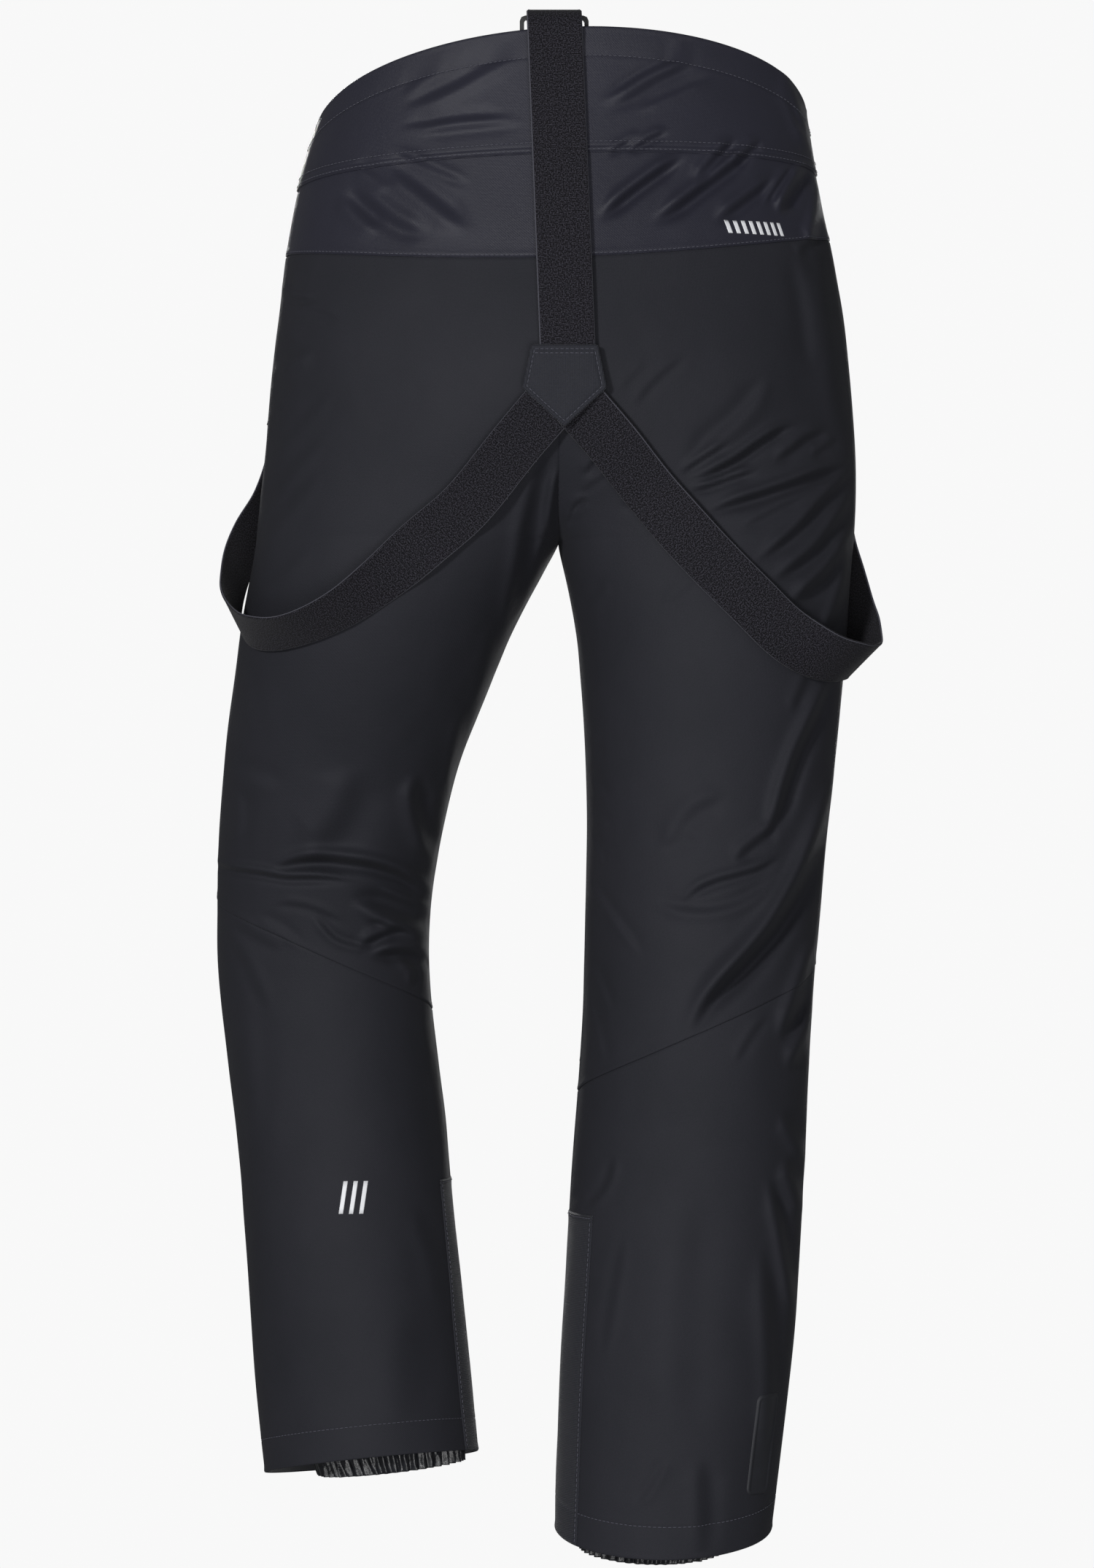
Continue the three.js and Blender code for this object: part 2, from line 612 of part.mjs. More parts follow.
function makeBackStrap() {
  const { width, height, bar, y, top } = RING;
  const outline = roundedRectangle(width, height, 4);
  const opening = roundedRectangle(width - 2 * bar, height - 2 * bar, 2);
  const ring = addPiece("back_strap_ring", plate(outline, [opening], bar), PLASTIC);
  ring.position.set(strapMiddle(top), y, top - height / 2);

  const upperBar = top - bar / 2;
  const onBack = (depth, off) => torsoAt(depth)[3] + off;
  const fold = [
    [onBack(66, 1.6), 66], [onBack(80, 1.6), 80], [onBack(92, 1.7), 92], [93, 98.6], [89, 100.9],
    [y, upperBar - 4.6], [y - 4.6, upperBar - 3], [y - 5.4, upperBar], [y - 4.2, upperBar + 3.6],
    [y, upperBar + 5], [90, 108.8], [95.8, 103.6], [98.2, 96],
  ];
  const run = [85, 60, 30, 0, -35, -70, -105].map((depth) => [onBack(depth, BACK_STRAP_LIFT), depth]);
  const end = [PATCH_FACE - 1.2, PATCH_TOP + 0.6];
  addPiece("back_strap", strip([...fold, ...run, end], strapMiddle, WEBBING, WEBBING_THICK), ELASTIC);

  const lowerBar = top - height + bar / 2;
  const anchorPath = [
    [y + 6.3, 58], [y + 4.7, 70], [y + 3.4, lowerBar], [y + 2.6, lowerBar + 2.5], [y, lowerBar + 3.6],
    [y - 2.6, lowerBar + 2.5], [y - 3.4, lowerBar], [y - 1.8, 72], [y + 3.6, 58],
  ];
  addPiece("back_strap_anchor", strip(anchorPath, () => strapMiddle(top), WEBBING - 4, 1.4), ELASTIC);
}

const PATCH_TOP = -135.5;
const PATCH_FACE = 135; // how far back the middle of its thickness is
const PATCH_MIDDLE = -4;
const PATCH_THICK = 5;

// The stitched patch that joins the three straps. The straps meet its edges.
function makeYPatch() {
  const outline = [[-24, 0], [24, 0], [30.3, -31], [0, -59], [-30.3, -31]];
  const patch = addPiece("y_patch", plate(outline, [], PATCH_THICK), PATCH);
  patch.position.set(PATCH_MIDDLE, PATCH_FACE, PATCH_TOP);
}

function makeSuspenders() {
  makeBackStrap();
  makeYPatch();
  SIDES.forEach((side) => {
    makeFrontStrap(side);
    makeStrapFittings(side);
    makeStrapAnchor(side);
  });
}

makeWaist();
SIDES.forEach(makeLeg);
SIDES.forEach(makeKickPatch);
SIDES.forEach(makeGaiter);
makeMarks();
makeFly();
makeWaistClosure();
SIDES.forEach(makePocket);
makeSuspenders();

export default pants;
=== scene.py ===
"""The looks of the ski pants: cloth panels with seams and folds, elastic straps, zips and fittings.

Metres, +Z up, the front faces -Y and the wearer's left is +X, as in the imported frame.
"""
import json
import math

import bpy
import numpy as np
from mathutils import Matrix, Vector


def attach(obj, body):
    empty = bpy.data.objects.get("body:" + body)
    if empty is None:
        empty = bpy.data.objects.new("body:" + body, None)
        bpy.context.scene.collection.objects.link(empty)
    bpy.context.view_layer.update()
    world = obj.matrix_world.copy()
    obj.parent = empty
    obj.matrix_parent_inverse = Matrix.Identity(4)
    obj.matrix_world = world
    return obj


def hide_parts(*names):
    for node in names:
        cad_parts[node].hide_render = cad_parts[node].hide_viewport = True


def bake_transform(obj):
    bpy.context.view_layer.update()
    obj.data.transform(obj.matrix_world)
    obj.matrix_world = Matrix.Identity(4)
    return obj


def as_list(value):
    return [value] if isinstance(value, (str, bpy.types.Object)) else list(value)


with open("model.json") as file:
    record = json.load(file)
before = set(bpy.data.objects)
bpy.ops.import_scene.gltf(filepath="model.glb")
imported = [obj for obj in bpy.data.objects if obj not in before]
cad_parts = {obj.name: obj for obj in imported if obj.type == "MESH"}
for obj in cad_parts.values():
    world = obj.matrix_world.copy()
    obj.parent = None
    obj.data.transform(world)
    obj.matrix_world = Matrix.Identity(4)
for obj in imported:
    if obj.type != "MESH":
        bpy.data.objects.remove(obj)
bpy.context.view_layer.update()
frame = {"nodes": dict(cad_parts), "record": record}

MM = 0.001
LEFT, RIGHT = 1, -1  # which way out is, along X
SIDE_NAMES = {LEFT: "left", RIGHT: "right"}


# ------------------------------------------------------------------ camera, light and floor

CAMERA_PLACE = (0.0086, 4.0, -0.45)
LENS, SENSOR, FAR_CLIP = 124.0, 36, 60
LIGHT_AIM = (0, 0, -0.45)
SKY, SKY_STRENGTH = (0.95, 0.97, 1.0, 1), 0.15
PALE = (0.94, 0.94, 0.94, 1)
FLOOR = -1.05
BACKDROP_RADIUS, BACKDROP_SIDES = 14, 48
BACKDROP_RINGS, RING_STEP = 15, 6  # the dome's rings, and the degrees between two of them
# name, place, size and power of each soft light
LIGHTS = [
    ("key", (1.5, 3.5, 0.4), 0.5, 78),
    ("fill", (-0.4, 3.7, -1.1), 2.0, 58),
    ("front_key", (0.7, -3.8, 1.0), 0.8, 95),
    ("front_fill", (-0.5, -3.9, -0.2), 1.6, 42),
]


def make_camera():
    camera = bpy.data.objects.new("camera", bpy.data.cameras.new("camera"))
    bpy.context.scene.collection.objects.link(camera)
    camera.data.lens = LENS
    camera.data.sensor_width = SENSOR
    camera.data.clip_end = FAR_CLIP
    camera.location = CAMERA_PLACE
    camera.rotation_euler = (math.radians(90), 0, math.radians(180))
    bpy.context.scene.camera = camera


def area_light(name, place, size, power):
    data = bpy.data.lights.new(name, "AREA")
    data.energy = power
    data.size = size
    light = bpy.data.objects.new(name, data)
    bpy.context.scene.collection.objects.link(light)
    light.location = place
    light.rotation_euler = (Vector(LIGHT_AIM) - Vector(place)).to_track_quat("-Z", "Y").to_euler()


def pale_material(name):
    """Even pale paper that gives its own light."""
    material = bpy.data.materials.new(name)
    material.use_nodes = True
    shader = material.node_tree.nodes["Principled BSDF"]
    shader.inputs["Base Color"].default_value = (0, 0, 0, 1)
    shader.inputs["Roughness"].default_value = 1.0
    shader.inputs["Specular IOR Level"].default_value = 0.0
    shader.inputs["Emission Color"].default_value = PALE
    shader.inputs["Emission Strength"].default_value = 1.0
    return material


def staged(name, verts, faces):
    """Floor or backdrop: it is seen, but it throws no light on the trousers."""
    mesh = bpy.data.meshes.new(name)
    mesh.from_pydata(verts, [], faces)
    mesh.materials.append(pale_material(name))
    piece = bpy.data.objects.new(name, mesh)
    bpy.context.scene.collection.objects.link(piece)
    piece.visible_diffuse = False
    piece.visible_glossy = False
    piece.visible_shadow = False


def make_studio():
    bpy.context.scene.view_settings.view_transform = "Standard"
    world = bpy.data.worlds.new("studio")
    bpy.context.scene.world = world
    world.use_nodes = True
    background = world.node_tree.nodes["Background"]
    background.inputs["Color"].default_value = SKY
    background.inputs["Strength"].default_value = SKY_STRENGTH
    for light in LIGHTS:
        area_light(*light)
    make_backdrop()


def make_backdrop():
    """A dome of flat rings over the floor."""
    sides = BACKDROP_SIDES
    turns = [2 * math.pi * i / sides for i in range(sides)]
    verts = []
    for climb in (math.radians(RING_STEP * k) for k in range(BACKDROP_RINGS)):
        radius, height = BACKDROP_RADIUS * math.cos(climb), FLOOR + BACKDROP_RADIUS * math.sin(climb)
        verts += [(radius * math.cos(t), radius * math.sin(t), height) for t in turns]
    faces = []
    for low in range(0, len(verts) - sides, sides):
        for i in range(sides):
            after = (i + 1) % sides
            faces.append((low + i, low + after, low + sides + after, low + sides + i))
    faces.append(tuple(range(len(verts) - sides, len(verts))))
    staged("backdrop", verts, faces)
    staged("floor", verts[:sides], [tuple(range(sides))])


# ------------------------------------------------------------------ the shape of the garment, as in the CAD

CROTCH = -0.271
RISE_SPAN = 0.130
OUTSIDE_SPAN = (CROTCH - 0.070, CROTCH + 0.080)  # where the outside of a leg becomes the body
WAIST_TILT, WAIST_HALF_WIDTH = -0.03, 0.190
# each edge's height at the side seam, and how much it rises to the centre back and falls to the centre front
TOP_EDGE, WAIST_SEAM = (0.044, 0.054, 0.012), (-0.004, 0.011, 0.004)
YOKE_SEAM, YOKE_DIP = -0.054, -0.017
TURN_STEP, HEIGHT_STEP = 0.004, 0.003  # how far apart the places are that give the cloth's slope

# height, middle across, half width, depth to the front, depth to the back
TORSO = [
    [0.100, -0.008, 0.168, 0.090, 0.092],
    [0.050, -0.004, 0.178, 0.094, 0.098],
    [0.000, 0.000, 0.190, 0.099, 0.106],
    [-0.070, 0.000, 0.204, 0.104, 0.119],
    [-0.150, 0.000, 0.2135, 0.108, 0.129],
    [CROTCH, 0.000, 0.221, 0.106, 0.120],
]

# height, middle outwards, middle front to back, half width, half depth
LEGS = {
    LEFT: [
        [CROTCH, 0.113, 0.005, 0.113, 0.112],
        [-0.355, 0.141, -0.025, 0.098, 0.104],
        [-0.464, 0.168, -0.072, 0.085, 0.093],
        [-0.575, 0.178, -0.108, 0.080, 0.087],
        [-0.713, 0.164, -0.096, 0.080, 0.082],
        [-0.876, 0.149, -0.070, 0.0795, 0.079],
        [-0.980, 0.1385, -0.054, 0.080, 0.077],
    ],
    RIGHT: [
        [CROTCH, 0.1075, 0.005, 0.1075, 0.112],
        [-0.355, 0.113, 0.004, 0.098, 0.105],
        [-0.517, 0.108, 0.018, 0.087, 0.093],
        [-0.677, 0.0985, 0.036, 0.084, 0.088],
        [-0.837, 0.0885, 0.053, 0.084, 0.083],
        [-1.010, 0.075, 0.066, 0.077, 0.077],
    ],
}
KNEES = {LEFT: Vector((0.177, -0.101, -0.545)), RIGHT: Vector((-0.106, 0.024, -0.560))}
# each hem: middle height, rise towards the inseam, rise towards the back
HEMS = {LEFT: (-0.959, 0.008, 0.012), RIGHT: (-0.9915, 0.0, -0.013)}


def profile(rows):
    """A smooth curve through rows of [height, values...], listed from the top down."""
    table = np.array(rows, float)[::-1]
    heights, values = table[:, 0], table[:, 1:]
    lower = np.vstack([values[:1], values[:-1]])
    upper = np.vstack([values[1:], values[-1:]])
    gap = np.append(heights[1:], heights[-1]) - np.append(heights[:1], heights[:-1])
    slopes = (upper - lower) / gap[:, None]

    def at(height):
        inside = np.clip(np.asarray(height, float), heights[0], heights[-1])
        i = np.clip(np.searchsorted(heights, inside, side="right") - 1, 0, len(heights) - 2)
        span = (heights[i + 1] - heights[i])[..., None]
        t = (inside - heights[i])[..., None] / span
        start = 2 * t**3 - 3 * t**2 + 1
        leave = (t**3 - 2 * t**2 + t) * span
        arrive = (t**3 - t**2) * span
        return start * values[i] + (1 - start) * values[i + 1] + leave * slopes[i] + arrive * slopes[i + 1]

    return at


torso_at = profile(TORSO)
leg_at = {side: profile(rows) for side, rows in LEGS.items()}


def smoothstep(low, high, value):
    t = np.clip((np.asarray(value, float) - low) / (high - low), 0, 1)
    return t * t * (3 - 2 * t)


def cloth_point(side, u, height):
    """One leg's cloth. u turns from the front inner edge (0) round the outside to the back inner edge (1)."""
    u, height = np.broadcast_arrays(np.asarray(u, float), np.asarray(height, float))
    middle_x, middle_y, width, depth = np.moveaxis(leg_at[side](height), -1, 0)
    leg_x = side * (middle_x - width * np.cos(2 * np.pi * u))
    leg_y = middle_y - depth * np.sin(2 * np.pi * u)
    middle, half_width, front, back = np.moveaxis(torso_at(height), -1, 0)
    torso_x = middle + side * half_width * np.sin(np.pi * u)
    torso_y = -np.where(u < 0.5, front, back) * np.cos(np.pi * u)
    climb = np.clip((height - CROTCH) / RISE_SPAN, 0, 1)
    at_rise = np.sqrt(1 - (1 - climb) ** 2)
    at_outside = smoothstep(*OUTSIDE_SPAN, height)
    near_rise = np.clip(np.abs(2 * u - 1), 0, 1) ** 4
    share = at_outside + (at_rise - at_outside) * near_rise
    return np.stack([leg_x + (torso_x - leg_x) * share, leg_y + (torso_y - leg_y) * share, height], -1)


def unit(vectors):
    return vectors / np.maximum(np.linalg.norm(vectors, axis=-1, keepdims=True), 1e-12)


def cloth_normal(side, u, height):
    u, height = np.broadcast_arrays(np.asarray(u, float), np.asarray(height, float))
    free = height < CROTCH
    before = np.where(free, u - TURN_STEP, np.maximum(u - TURN_STEP, 0))
    after = np.where(free, u + TURN_STEP, np.minimum(u + TURN_STEP, 1))
    around = cloth_point(side, after, height) - cloth_point(side, before, height)
    up = cloth_point(side, u, height + HEIGHT_STEP) - cloth_point(side, u, height - HEIGHT_STEP)
    return unit(np.cross(around, up)) * side


def off_cloth(side, u, height, distance):
    away = np.asarray(distance, float)[..., None]
    return cloth_point(side, u, height) + cloth_normal(side, u, height) * away


def backness(u):
    """How far round to the back (1) or the front (-1) a place is, from the side seam (0)."""
    return -np.cos(np.pi * u)


def tilt(side, u):
    return WAIST_TILT * side * WAIST_HALF_WIDTH * np.sin(np.pi * u)


def waist_edge(heights, side, u):
    middle, to_back, to_front = heights
    back = backness(u)
    return middle + np.where(back > 0, to_back, to_front) * back + tilt(side, u)


def top_edge(side, u):
    return waist_edge(TOP_EDGE, side, u)


def waist_seam(side, u):
    return waist_edge(WAIST_SEAM, side, u)


def yoke_seam(side, u):
    return YOKE_SEAM + YOKE_DIP * backness(u) ** 2 + tilt(side, u)


def ring_edge(heights, u):
    """A sloping edge round a leg, from its middle height and its rise at the inseam and at the back."""
    middle, inner, rear = heights
    return middle + inner * np.cos(2 * np.pi * u) - rear * np.sin(2 * np.pi * u)


def hem_edge(side, u):
    return ring_edge(HEMS[side], u)


# The seam across each calf climbs from the inseam to the outside: heights at the inseam and at the side seam.
CALF_SEAM = {LEFT: (-0.621, -0.534), RIGHT: (-0.675, -0.583)}
CALF_SEAM_BOW = 0.045  # as a share of its climb
# The shaped knee panel in front: the height of its top and foot from the knee, and how far each bows.
KNEE_PANEL_TOP, KNEE_PANEL_FOOT = (0.085, -0.025), (-0.095, 0.02)


def calf_seam(side, u):
    inner, outer = CALF_SEAM[side]
    share = np.clip((1 - np.asarray(u, float)) / 0.5, 0, 1)
    return inner + (outer - inner) * (share - CALF_SEAM_BOW * np.sin(2 * np.pi * share))


def knee_edge(place, side, u):
    above, bow = place
    return KNEES[side].z + above + bow * np.sin(2 * np.pi * np.asarray(u, float))


def knee_top(side, u):
    return knee_edge(KNEE_PANEL_TOP, side, u)


def knee_foot(side, u):
    return knee_edge(KNEE_PANEL_FOOT, side, u)


# ------------------------------------------------------------------ folds

# Half the width and the depth of each crease, then the points [across, height] that it runs through, in
# millimetres. Its shaded side faces SHADE, or the other way when the depth is negative.
CREASES = {
    (LEFT, "back"): [
        # waistband and yoke
        (4.6, -1.4, [(116, 40), (100, 45), (72, 57), (48, 70), (22, 80)]),
        (3.4, -1.1, [(118, 26), (95, 28), (70, 31), (34, 32)]),
        (4.0, -0.6, [(116, 50), (98, 63), (80, 76)]),
        (3.4, 0.7, [(104, 21), (72, 24), (44, 26), (22, 26)]),
        (2.9, -1.0, [(124, 12), (104, 2), (86, -7), (62, -18)]),
        (6.3, 2.0, [(132, 2), (112, -12), (92, -28), (62, -52)]),
        (5.2, -1.8, [(152, -12), (136, -28), (116, -44), (92, -54)]),
        (5.2, 1.4, [(160, -18), (146, -34), (128, -50)]),
        (4.0, 1.0, [(150, 2), (136, -6), (118, -20)]),
        (3.4, 0.6, [(192, 12), (186, 34), (176, 52)]),
        # seat
        (2.6, -2.0, [(214, -78), (202, -89), (190, -95), (174, -96)]),
        (3.0, 1.6, [(212, -68), (203, -79), (196, -90)]),
        (2.6, 0.7, [(190, -102), (176, -105), (158, -112)]),
        (5.0, 1.2, [(208, -104), (198, -114), (188, -122), (176, -128)]),
        (6.0, -2.0, [(220, -150), (208, -143), (196, -137), (176, -133)]),
        (4.5, 1.1, [(218, -152), (208, -160), (200, -170)]),
        (3.5, -0.7, [(222, -184), (210, -172), (200, -160)]),
        (5.0, -0.8, [(216, -214), (202, -200), (186, -186), (164, -164)]),
        (5.5, -1.0, [(226, -262), (206, -236), (190, -216), (168, -196)]),
        (6.0, -1.1, [(234, -286), (214, -266), (196, -246), (172, -220)]),
        (5.0, -0.8, [(226, -318), (208, -302), (194, -290), (180, -278)]),
        # crotch and the inside of the thigh
        (4.5, 2.4, [(8, -206), (16, -230), (24, -262), (30, -300), (42, -350)]),
        (3.0, -1.6, [(3, -214), (7, -234), (14, -268), (19, -292)]),
        (3.0, 2.0, [(1, -222), (4, -244), (5, -268)]),
        (6.0, 1.6, [(44, -330), (52, -368), (62, -404)]),
        (4.0, 2.2, [(68, -392), (74, -412), (79, -440), (80, -464)]),
        # knee
        (2.6, 3.8, [(282, -502), (262, -508), (244, -513), (222, -516), (202, -519), (178, -519),
                    (148, -522)]),
        (4.2, 6.4, [(216, -515), (200, -508), (182, -505), (162, -506), (140, -509), (118, -517),
                    (100, -530), (84, -541)]),
        (2.2, 1.7, [(138, -524), (122, -530), (104, -538), (90, -545)]),
        (6.0, 5.2, [(156, -536), (140, -540), (122, -547), (106, -555), (90, -568)]),
        (2.6, -2.2, [(144, -550), (130, -554), (116, -559), (106, -564)]),
        (3.4, 3.2, [(150, -571), (138, -565), (126, -560), (114, -558)]),
        (2.6, 1.5, [(184, -546), (174, -557), (166, -565), (152, -570), (138, -571)]),
        (4.2, 5.2, [(142, -579), (126, -575), (110, -576), (96, -582), (84, -588)]),
        (3.0, 1.7, [(122, -580), (112, -586), (109, -594), (112, -604)]),
        (2.6, 0.9, [(216, -540), (198, -539), (180, -543), (156, -554)]),
        (3.6, 0.8, [(226, -548), (206, -558), (190, -572)]),
        (4.5, -1.0, [(250, -560), (236, -580), (226, -600), (216, -622)]),
        (4.0, -0.8, [(244, -552), (222, -566), (204, -574)]),
        (4.0, 1.1, [(237, -452), (234, -472), (237, -488), (246, -500)]),
        (5.5, 5.0, [(104, -440), (106, -458), (104, -476), (99, -492), (92, -510)]),
        (12.0, 3.0, [(146, -436), (156, -466), (172, -490), (192, -506)]),
        (6.0, 1.0, [(246, -436), (226, -444), (202, -452)]),
        # calf
        (4.5, 2.0, [(86, -652), (86, -676), (82, -704), (80, -740), (82, -770)]),
        (6.0, 1.2, [(108, -762), (98, -786), (90, -806), (84, -846)]),
        (14.0, 1.2, [(112, -840), (110, -880), (112, -930)]),
        (8.0, 0.9, [(232, -600), (226, -650), (224, -710)]),
        (3.5, 1.3, [(68, -872), (64, -900), (60, -936)]),
    ],
    (RIGHT, "back"): [
        # waistband and yoke
        (3.0, -1.4, [(-28, 42), (-44, 52), (-64, 65), (-98, 80)]),
        (3.6, 1.2, [(-32, 36), (-52, 47), (-72, 60), (-104, 76)]),
        (3.0, -0.9, [(-54, 36), (-78, 48), (-112, 64)]),
        (6.0, 3.9, [(-166, 78), (-174, 56), (-182, 34), (-188, 12)]),
        (2.5, -1.5, [(-164, 66), (-172, 48), (-182, 26)]),
        (3.8, 3.6, [(-28, -44), (-42, -31), (-58, -18), (-74, -6), (-92, 6)]),
        (2.6, 1.7, [(-48, 6), (-58, 12), (-68, 18), (-80, 23)]),
        (2.4, 1.2, [(-34, 4), (-46, 12), (-60, 20)]),
        (4.2, 3.9, [(-66, -46), (-84, -34), (-104, -18), (-124, -2), (-144, 14)]),
        (3.6, 2.7, [(-96, -16), (-108, -2), (-118, 10), (-128, 20)]),
        (4.0, 3.0, [(-112, -44), (-126, -33), (-142, -20), (-158, -6)]),
        (3.0, 1.8, [(-124, -2), (-132, 6), (-140, 14), (-148, 20)]),
        (2.6, 2.0, [(-148, -30), (-156, -18), (-164, -6), (-172, 6)]),
        (4.2, 4.8, [(-160, -36), (-166, -24), (-173, -10), (-184, 6)]),
        (4.5, 4.5, [(-184, -60), (-189, -40), (-193, -20), (-196, 0)]),
        (3.5, 1.4, [(-174, -66), (-182, -54), (-190, -46)]),
        # hip and seat
        (8.0, 3.4, [(-192, -50), (-200, -90), (-206, -140), (-210, -200)]),
        (6.0, -1.2, [(-170, -60), (-180, -100), (-186, -150)]),
        (3.0, 0.9, [(-52, -182), (-64, -166), (-78, -152), (-94, -140)]),
        (2.6, 0.4, [(-42, -170), (-56, -154), (-66, -146)]),
        (5.5, -2.0, [(-92, -222), (-108, -204), (-126, -188), (-140, -172), (-152, -152)]),
        (2.4, 1.8, [(-86, -228), (-98, -219), (-110, -211), (-124, -202)]),
        (3.2, 4.0, [(-94, -232), (-112, -224), (-128, -215), (-146, -202), (-162, -192), (-176, -188)]),
        (2.6, 2.6, [(-92, -239), (-108, -235), (-124, -229), (-146, -222)]),
        (3.6, 4.4, [(-104, -256), (-122, -248), (-146, -240), (-168, -232), (-190, -223), (-218, -212)]),
        (3.6, 2.4, [(-154, -218), (-168, -208), (-182, -197), (-200, -190)]),
        (3.0, 1.3, [(-184, -212), (-196, -203), (-206, -196)]),
        (3.0, 1.1, [(-130, -266), (-148, -256), (-164, -247), (-182, -240)]),
        (4.0, 3.4, [(-140, -292), (-158, -278), (-174, -264), (-190, -247), (-206, -230), (-218, -214)]),
        (4.4, 3.6, [(-152, -306), (-172, -291), (-190, -276), (-204, -258), (-218, -232)]),
        (5.0, 4.8, [(-166, -322), (-184, -307), (-198, -294), (-208, -280), (-218, -256)]),
        (4.6, 4.4, [(-192, -350), (-199, -335), (-206, -318), (-212, -296), (-216, -268)]),
        # crotch and the inside of the thigh
        (2.8, 1.9, [(-17, -228), (-23, -220), (-30, -210)]),
        (2.6, 0.9, [(-14, -241), (-24, -233), (-38, -224)]),
        (2.6, 2.0, [(-4, -262), (-9, -254), (-13, -247), (-22, -243)]),
        (2.2, -1.4, [(-8, -256), (-14, -250), (-22, -245)]),
        (3.0, 0.8, [(-42, -248), (-56, -246), (-68, -242)]),
        (4.0, -0.7, [(-18, -326), (-26, -314), (-36, -302)]),
        (4.0, 0.6, [(-76, -322), (-88, -312), (-100, -302)]),
        # the long folds down the thigh and round the knee
        (4.8, 5.6, [(-202, -366), (-193, -386), (-184, -406), (-174, -426), (-166, -448), (-159, -470),
                    (-146, -494)]),
        (3.6, 1.2, [(-184, -364), (-177, -380), (-168, -400)]),
        (4.2, 2.4, [(-126, -508), (-134, -498), (-144, -490), (-158, -478)]),
        (6.6, 9.5, [(-208, -430), (-201, -458), (-192, -486), (-182, -510), (-169, -533), (-153, -556),
                    (-136, -575), (-119, -592), (-107, -606), (-98, -622), (-92, -636)]),
        (3.2, 2.4, [(-88, -538), (-98, -527), (-112, -520), (-130, -515), (-146, -510), (-162, -500)]),
        (4.0, -1.5, [(-64, -532), (-84, -539), (-104, -541), (-126, -537), (-146, -526), (-160, -512)]),
        (6.0, 1.5, [(-76, -496), (-88, -480), (-100, -467), (-122, -458)]),
        (5.0, 0.8, [(-72, -496), (-90, -490), (-106, -488)]),
        (5.5, 5.8, [(-196, -556), (-188, -574), (-180, -592), (-172, -612), (-160, -638)]),
        (3.0, 1.6, [(-184, -598), (-178, -610), (-168, -626)]),
        (5.5, 5.2, [(-194, -606), (-187, -626), (-178, -642), (-166, -660)]),
        (3.2, 0.9, [(-126, -652), (-134, -638), (-142, -626), (-152, -616)]),
        (3.2, 1.2, [(-20, -514), (-30, -532), (-42, -549), (-52, -562), (-62, -576)]),
        (3.0, 1.0, [(-20, -576), (-28, -592), (-38, -614)]),
        (3.0, 0.8, [(-20, -604), (-28, -628), (-34, -652)]),
        (3.2, 1.2, [(-18, -436), (-26, -448), (-38, -460)]),
        (3.5, 1.0, [(-18, -414), (-26, -420), (-34, -418)]),
        (3.0, 0.8, [(-22, -466), (-28, -474), (-40, -478)]),
        (2.6, 0.7, [(-22, -482), (-28, -494), (-34, -510)]),
        # calf
        (4.8, 3.0, [(-160, -686), (-167, -696), (-175, -712), (-182, -730)]),
        (5.2, 4.8, [(-164, -718), (-170, -734), (-176, -750), (-184, -766)]),
        (4.4, 3.8, [(-150, -730), (-157, -752), (-163, -778), (-168, -804), (-174, -842)]),
        (6.0, 3.2, [(-146, -780), (-151, -812), (-154, -850), (-155, -890), (-150, -940)]),
        (2.8, -1.3, [(-18, -760), (-27, -750), (-35, -738), (-41, -716)]),
        (3.2, 1.2, [(-8, -732), (-12, -744), (-8, -756)]),
        (3.6, -0.8, [(-47, -770), (-42, -800), (-36, -836), (-32, -866)]),
        (14.0, 1.6, [(-98, -740), (-90, -800), (-86, -860), (-90, -920)]),
        (7.0, 1.8, [(-102, -930), (-104, -962), (-104, -1004)]),
        (3.0, -0.8, [(-54, -968), (-66, -952), (-78, -930)]),
    ],
    (LEFT, "front"): [
        (8.0, 2.6, [(18, -236), (52, -222), (96, -196)]),
        (8.0, 3.0, [(24, -256), (66, -248), (118, -232)]),
        (9.0, 2.4, [(42, -296), (84, -306), (132, -300)]),
        (7.0, 3.0, [(96, -470), (130, -484), (180, -480), (228, -458)]),
        (7.0, 2.6, [(104, -520), (150, -538), (206, -524)]),
        (7.0, 2.4, [(102, -622), (150, -638), (212, -626)]),
        (10.0, 2.4, [(140, -740), (160, -790), (168, -850)]),
    ],
    (RIGHT, "front"): [
        (8.0, 2.6, [(-16, -240), (-48, -228), (-90, -206)]),
        (8.0, 2.8, [(-22, -262), (-62, -260), (-112, -246)]),
        (9.0, 2.2, [(-34, -300), (-78, -318), (-120, -322)]),
        (7.0, 2.6, [(-36, -480), (-92, -500), (-154, -488)]),
        (7.0, 2.4, [(-40, -556), (-90, -572), (-150, -560)]),
        (7.0, 2.2, [(-36, -636), (-86, -654), (-142, -644)]),
        (10.0, 2.2, [(-64, -760), (-86, -810), (-90, -870)]),
    ],
}


def smooth_line(points, per_span):
    """A smooth curve through points (a centripetal Catmull-Rom curve), with equal steps between each two."""
    points = np.array(points, float)
    padded = np.vstack([2 * points[0] - points[1], points, 2 * points[-1] - points[-2]])
    line = []
    for p0, p1, p2, p3 in zip(padded, padded[1:], padded[2:], padded[3:]):
        d0, d1, d2 = (max(np.linalg.norm(b - a) ** 0.5, 1e-9) for a, b in ((p0, p1), (p1, p2), (p2, p3)))
        leave = ((p1 - p0) / d0 - (p2 - p0) / (d0 + d1) + (p2 - p1) / d1) * d1
        arrive = ((p2 - p1) / d1 - (p3 - p1) / (d1 + d2) + (p3 - p2) / d2) * d1
        for t in np.arange(per_span) / per_span:
            bend = (-3 * p1 + 3 * p2 - 2 * leave - arrive) * t**2 + (2 * p1 - 2 * p2 + leave + arrive) * t**3
            line.append(p1 + leave * t + bend)
    line.append(points[-1])
    return np.array(line)


